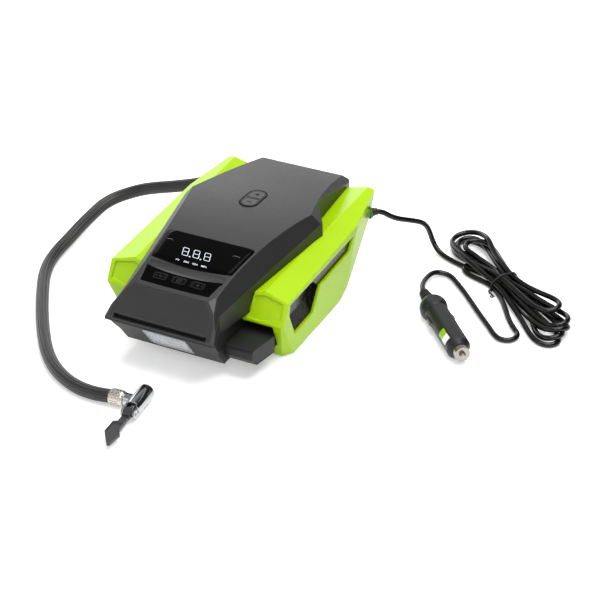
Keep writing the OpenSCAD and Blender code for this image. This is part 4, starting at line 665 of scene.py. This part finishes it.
def tail_points(start, sign):
    """One end of the tie: out of its low side and twisted with the other end. Then one end (sign 1) makes a small
    hook and the other ends short."""
    pts = []
    for k in range(1, 8):
        w = k * TWIST_STEP
        way = OUT * min(1.25 * k, 3.0) + SIDE * max(0, 1.5 * (k - 1.5))
        pts.append(start + way + sign * (OUT * TWIST_R * math.cos(w) + UP * TWIST_R * math.sin(w)))
    end = pts[-1]
    if sign > 0:
        return pts + [end + SIDE * 2.0 + OUT * 0.6, end + SIDE * 3.4 + OUT * 1.8, end + SIDE * 3.0 + OUT * 3.2,
                      end + SIDE * 1.2 + OUT * 3.4]
    return pts + [end + SIDE * 1.6 - OUT * 0.8, end + SIDE * 2.6 - OUT * 1.6]


loop = tie_loop(crossings(lead_line))
tie_line = tail_points(loop[0], 1)[::-1] + loop + tail_points(loop[-1], -1)
tie_line = np.array([[q[0], q[1], max(q[2], TAIL_LOWEST)] for q in tie_line])
tie = sweep("wire_tie", catmull(tie_line, TIE_STEP) * MM, TIE_R * MM, M["wire"], sides=10)
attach(tie, "inflator")
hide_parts("hank_tie")

# ---------------------------------------------------------------- hose
HOSE_STEP = 2.0
HOSE_RIBS = 16
HOSE_MEAN, HOSE_RIB = 0.965, 0.035   # of its radius

hose_line = catmull(HOSE, HOSE_STEP)
hose = sweep("air_hose_tube", hose_line * MM, HOSE_D / 2 * MM, M["hose"], sides=6 * HOSE_RIBS,
             section=lambda w: HOSE_MEAN + HOSE_RIB * math.cos(HOSE_RIBS * w))
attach(hose, "inflator")
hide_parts("air_hose")

# ---------------------------------------------------------------- outlines of marks
SUNK = 0.05      # how far the sides of a mark go into its node
TREES = {}


def height(node, x, y):
    """The height of a node's top at a place."""
    if node not in TREES:
        me = NODES[node].data
        TREES[node] = BVHTree.FromPolygons([v.co for v in me.vertices], [p.vertices for p in me.polygons])
    hit = TREES[node].ray_cast(Vector((x * MM, y * MM, 1.0)), Vector((0, 0, -1)))
    return hit[0].z / MM


def decal(name, node, body, loops, material, lift=0.05):
    """Thin raised pieces on top of a node: loops are outlines, or pairs of an outer and an inner one for rings."""
    verts, faces = [], []
    for item in loops:
        is_ring = isinstance(item[0][0], tuple)
        outlines = item if is_ring else [item]
        base = len(verts)
        for outline in outlines:
            zs = [height(node, x, y) for x, y in outline]
            for rise in (lift, -SUNK):
                verts += [(x * MM, y * MM, (z + rise) * MM) for (x, y), z in zip(outline, zs)]
        n = len(outlines[0])
        if not is_ring:
            faces.append(tuple(base + k for k in range(n)))
        for k in range(n):
            k2 = (k + 1) % n
            if is_ring:
                o, i = base, base + 2 * n
                faces += [(o + k, o + k2, i + k2, i + k), (o + n + k, o + n + k2, o + k2, o + k),
                          (i + k, i + k2, i + n + k2, i + n + k)]
            else:
                faces.append((base + n + k, base + n + k2, base + k2, base + k))
    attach(mesh_object(name, verts, faces, material, smooth=False), body)


def segment(x0, y0, x1, y1, w):
    """A six-sided bar between two points."""
    d = Vector((x1 - x0, y1 - y0))
    d.normalize()
    n = Vector((-d.y, d.x))
    a, b = Vector((x0, y0)), Vector((x1, y1))
    h = w / 2
    pts = [a, a + d * h + n * h, b - d * h + n * h, b, b - d * h - n * h, a + d * h - n * h]
    return [(p.x, p.y) for p in pts]


def rounded(cx, cy, w, l, r):
    """A rectangle with round corners."""
    pts = []
    for sx, sy, a0 in ((1, 1, 0), (-1, 1, 90), (-1, -1, 180), (1, -1, 270)):
        for k in range(7):
            a = math.radians(a0 + 90 * k / 6)
            pts.append((cx + sx * (w / 2 - r) + r * math.cos(a), cy + sy * (l / 2 - r) + r * math.sin(a)))
    return pts


def disc(cx, cy, r):
    return [(cx + r * math.cos(2 * math.pi * k / 12), cy + r * math.sin(2 * math.pi * k / 12)) for k in range(12)]


def arc_mark(cx, cy, length, rise, w):
    """A short bowed bar."""
    n = 8
    top = [(cx + length * (k / n - 0.5), cy + rise * (1 - (2 * k / n - 1) ** 2) + w / 2) for k in range(n + 1)]
    return top + [(x, y - w) for x, y in reversed(top)]


# ---------------------------------------------------------------- display
DISPLAY_LIFT = 0.2
DIGIT_X0, DIGIT_Y0, DIGIT_PITCH = -14.2, -72.2, 10.5
DIGIT_W, DIGIT_H, DIGIT_LEAN, DIGIT_BAR, DIGIT_GAP = 5.4, 9.2, -0.33, 0.50, 0.16
POINT_AWAY, POINT_DOWN, POINT_R = 2.2, -0.2, 0.7


def digit_place(k, x, y):
    """The place of x, y in the leaning frame of the digit number k."""
    return (DIGIT_X0 + k * DIGIT_PITCH + x + y * DIGIT_LEAN, DIGIT_Y0 + y)


def digit_loops():
    """Three eights of seven bars each, with two points."""
    loops = []
    w, h, g = DIGIT_W, DIGIT_H, DIGIT_GAP
    bars = [((g, 0), (w - g, 0)), ((g, h / 2), (w - g, h / 2)), ((g, h), (w - g, h)), ((0, g), (0, h / 2 - g)),
            ((0, h / 2 + g), (0, h - g)), ((w, g), (w, h / 2 - g)), ((w, h / 2 + g), (w, h - g))]
    for k in range(3):
        loops += [segment(*digit_place(k, *a), *digit_place(k, *b), DIGIT_BAR) for a, b in bars]
        if k < 2:
            loops.append(disc(*digit_place(k, w + POINT_AWAY, POINT_DOWN), POINT_R))
    return loops


decal("display_digits", "display_window", "inflator", digit_loops(), M["glow"], DISPLAY_LIFT)

# The dark field: its front and rear edge, half its width at the front and how that grows to the rear, the radius of
# its rear corners, and how far its front edge bows out over how much of its depth.
FIELD_FRONT, FIELD_REAR = -81.9, -44.0
FIELD_HALF, FIELD_GROWTH, FIELD_CORNER = 38.4, 0.118, 4.5
FIELD_BOW, FIELD_BOW_HALF, FIELD_BOW_DEPTH, FIELD_BOW_END = 4.0, 39, 12, -69
FIELD_ROWS = [-81.9, -76, -70, -64, -58, -53, -49.5, -48.5, -47.5, -46.5, -45.6, -44.9, -44.3, -44.05]
FIELD_COLS = 14
FIELD_LIFT, FIELD_THICK = 0.14, 0.3
# The arch of the cover's top, which the field follows.
ARCH_TOP, ARCH_Y, ARCH_R = 88.3, 12, 500


def field_half(y):
    """Half the width of the field at y."""
    half = FIELD_HALF + (y - FIELD_FRONT) * FIELD_GROWTH
    into = y - (FIELD_REAR - FIELD_CORNER)
    if into <= 0:
        return half
    return half - (FIELD_CORNER - math.sqrt(max(0, FIELD_CORNER ** 2 - into ** 2)))


def display_field():
    verts, faces = [], []
    for row in FIELD_ROWS:
        for k in range(FIELD_COLS + 1):
            x = field_half(row) * (2 * k / FIELD_COLS - 1)
            y = row
            if row < FIELD_BOW_END:
                y -= FIELD_BOW * (1 - (x / FIELD_BOW_HALF) ** 2) * max(0, 1 - (row - FIELD_FRONT) / FIELD_BOW_DEPTH)
            z = ARCH_TOP - ARCH_R + math.sqrt(ARCH_R ** 2 - (y - ARCH_Y) ** 2)
            verts.append((x * MM, y * MM, (z + FIELD_LIFT) * MM))
    for r in range(len(FIELD_ROWS) - 1):
        for k in range(FIELD_COLS):
            a = r * (FIELD_COLS + 1) + k
            faces.append((a, a + 1, a + FIELD_COLS + 2, a + FIELD_COLS + 1))
    field = mesh_object("display_field", verts, faces, M["gloss"])
    thick = field.modifiers.new("thickness", "SOLIDIFY")
    thick.thickness = FIELD_THICK * MM
    thick.offset = -1
    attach(field, "inflator")


display_field()
decal("display_arcs", "display_window", "inflator",
      [arc_mark(-34.1, -57.6, 6, 1.0, 0.9), arc_mark(31.2, -58.8, 7, 1.0, 0.9)], M["lever"], DISPLAY_LIFT)

# The four units: middle x and base line y.
UNITS = [("PSI", -14.2, -80.2), ("BAR", -5.6, -80.4), ("KPA", 2.9, -80.5), ("MPA", 11.4, -80.6)]
UNIT_SIZE, UNIT_LEAN, UNIT_WEIGHT = 2.8, -0.2, 0.03


def lettering(name, words, node, body, material, lift):
    """Words as thin raised text on top of a node."""
    verts, faces = [], []
    for text, cx, base_line in words:
        curve = bpy.data.curves.new(name, "FONT")
        curve.body = text
        curve.size = UNIT_SIZE
        curve.align_x = "CENTER"
        curve.offset = UNIT_WEIGHT
        curve.resolution_u = 2
        written = link(bpy.data.objects.new(name + "_tmp", curve))
        bpy.context.view_layer.update()
        me = bpy.data.meshes.new_from_object(written.evaluated_get(bpy.context.evaluated_depsgraph_get()))
        base = len(verts)
        for v in me.vertices:
            x, y = cx + v.co.x + v.co.y * UNIT_LEAN, base_line + v.co.y
            verts.append((x * MM, y * MM, (height(node, x, y) + lift) * MM))
        faces += [tuple(base + i for i in p.vertices) for p in me.polygons]
        bpy.data.objects.remove(written)
        bpy.data.curves.remove(curve)
        bpy.data.meshes.remove(me)
    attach(mesh_object(name, verts, faces, material, smooth=False), body)


lettering("display_units", UNITS, "display_window", "inflator", M["units"], DISPLAY_LIFT)


# ---------------------------------------------------------------- marks on the keys and buttons
def place_of(node):
    """The middle, width and length of a node from above."""
    lo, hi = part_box(node)
    return (lo[0] + hi[0]) / 2 / MM, (lo[1] + hi[1]) / 2 / MM, (hi[0] - lo[0]) / MM, (hi[1] - lo[1]) / MM


def key_loops(node, sign):
    """A ring on a key, and in it minus (-1) or plus (1) between two ticks, or a small screen with a dot (0)."""
    cx, cy = place_of(node)[:2]
    w, l, r, line = 11.6, 6.4, 1.6, 0.3
    loops = [(rounded(cx, cy, w, l, r), rounded(cx, cy, w - 2 * line, l - 2 * line, r - line))]
    if sign == 0:
        return loops + [(rounded(cx, cy, 4.4, 3.6, 0.9), rounded(cx, cy, 3.4, 2.6, 0.6)), disc(cx, cy, 0.6)]
    arm, tick, tick_x = 1.6, 0.9, 3.9
    loops.append(segment(cx - arm, cy, cx + arm, cy, 0.7))
    if sign > 0:
        loops.append(segment(cx, cy - arm, cx, cy + arm, 0.7))
    return loops + [segment(cx + s * tick_x, cy - tick, cx + s * tick_x, cy + tick, 0.5) for s in (-1, 1)]


def button_loops(node, sign):
    """Plus (1) or minus (-1) on a button, and the line that follows its round and its straight edge."""
    cx, cy, w, l = place_of(node)
    loops = [segment(cx - 2.6, cy, cx + 2.6, cy, 1.3)]
    if sign > 0:
        loops.append(segment(cx, cy - 2.4, cx, cy + 2.4, 1.3))
    inset, steps = 0.9, 18
    r = w / 2 - inset
    round_y = cy + sign * (l / 2 - inset - r)
    edge_y = cy - sign * (l / 2 - inset)
    for k in range(steps):
        a, b = (math.radians(180 * (k + f) / steps) for f in (0, 1))
        loops.append(segment(cx + r * math.cos(a), round_y + sign * r * math.sin(a),
                             cx + r * math.cos(b), round_y + sign * r * math.sin(b), 0.7))
    loops.append(segment(cx - r, edge_y, cx + r, edge_y, 0.8))
    return loops + [segment(cx + s * r, edge_y, cx + s * r, round_y, 0.6) for s in (-1, 1)]


for node, sign in (("key_minus", -1), ("key_mode", 0), ("key_plus", 1)):
    decal(node + "_mark", node, node, key_loops(node, sign), M["ink"])
for node, sign in (("plus_button", 1), ("minus_button", -1)):
    decal(node + "_mark", node, node, button_loops(node, sign), M["bezel"])

# ---------------------------------------------------------------- floor
# The white of the background is seen by the camera and in what is glossy or clear, but it doesn't light the object.
FLOOR_LIFT = 0.37


def floor_material():
    mat, nt, bsdf = new_material("floor", color=(0.90, 0.90, 0.905), rough=0.65, spec=0.2, glow=(1.0, 1.0, 1.0))
    ray = make(nt, "LightPath")
    seen = ray.outputs["Is Camera Ray"]
    for other in ("Is Glossy Ray", "Is Transmission Ray"):
        seen = calc(nt, "MAXIMUM", seen, ray.outputs[other])
    nt.links.new(calc(nt, "MULTIPLY", seen, FLOOR_LIFT), bsdf.inputs["Emission Strength"])
    return mat


FLOOR_CORNERS = [(-4, -4, 0), (4, -4, 0), (4, 6, 0), (-4, 6, 0)]
floor = mesh_object("floor", FLOOR_CORNERS, [(0, 1, 2, 3)], floor_material(), False)

# ---------------------------------------------------------------- world
# White at the horizon and grey above, with a dark flag to the right and behind, which the right chamfers mirror.
SKY = [(0.0, (1.15, 1.15, 1.15)), (0.25, (1.0, 1.0, 1.01)), (0.55, (0.50, 0.50, 0.51)), (0.85, (0.40, 0.40, 0.41))]
FLAG_WAY = (0.755, 0.468, 0.46)
FLAG = [(0.50, (1, 1, 1)), (0.84, (0.04, 0.04, 0.04))]


def build_world():
    world = bpy.data.worlds.new("studio")
    scene.world = world
    world.use_nodes = True
    nt = world.node_tree
    background = next(n for n in nt.nodes if n.type == "BACKGROUND")
    way = make(nt, "TexCoord").outputs["Generated"]
    sky = ramp(nt, make(nt, "SeparateXYZ", {0: way}).outputs["Z"], SKY)
    aim = make(nt, "VectorMath", {0: way, 1: FLAG_WAY}, operation="DOT_PRODUCT")
    shade = make(nt, "Mix", {"Factor": 1.0, "A": sky, "B": ramp(nt, aim.outputs["Value"], FLAG)},
                 data_type="RGBA", blend_type="MULTIPLY")
    nt.links.new(shade.outputs["Result"], background.inputs["Color"])
    background.inputs["Strength"].default_value = 1.0


build_world()


# ---------------------------------------------------------------- lights
def softbox(name, place, target, width, depth, power):
    """A rectangular lamp that looks at target: places and sizes in metres, power in watts."""
    data = bpy.data.lights.new(name, "AREA")
    data.shape = "RECTANGLE"
    data.size, data.size_y = width, depth
    data.energy = power
    lamp = link(bpy.data.objects.new(name, data))
    lamp.location = place
    lamp.rotation_euler = (Vector(target) - Vector(place)).to_track_quat("-Z", "Y").to_euler()


softbox("overhead", (0.30, 0.25, 1.65), (0.02, 0.0, 0), 1.5, 1.4, 33)
softbox("low_back", (-1.14, 1.46, 0.72), (0.08, -0.04, 0.08), 0.85, 0.44, 4.4)
softbox("spark_right", (0.75, -0.30, 1.35), (0.1, 0.0, 0), 0.30, 0.30, 3.5)
softbox("spark_front", (0.5, -1.1, 1.2), (0.1, 0.0, 0), 0.30, 0.30, 2.5)
softbox("right_front", (1.5, -1.2, 0.75), (0.05, 0.0, 0.03), 1.2, 0.8, 2)
softbox("left_front", (-1.3, -1.3, 1.2), (0.0, 0.0, 0.05), 1.4, 1.0, 4)

scene.view_settings.view_transform = "Standard"
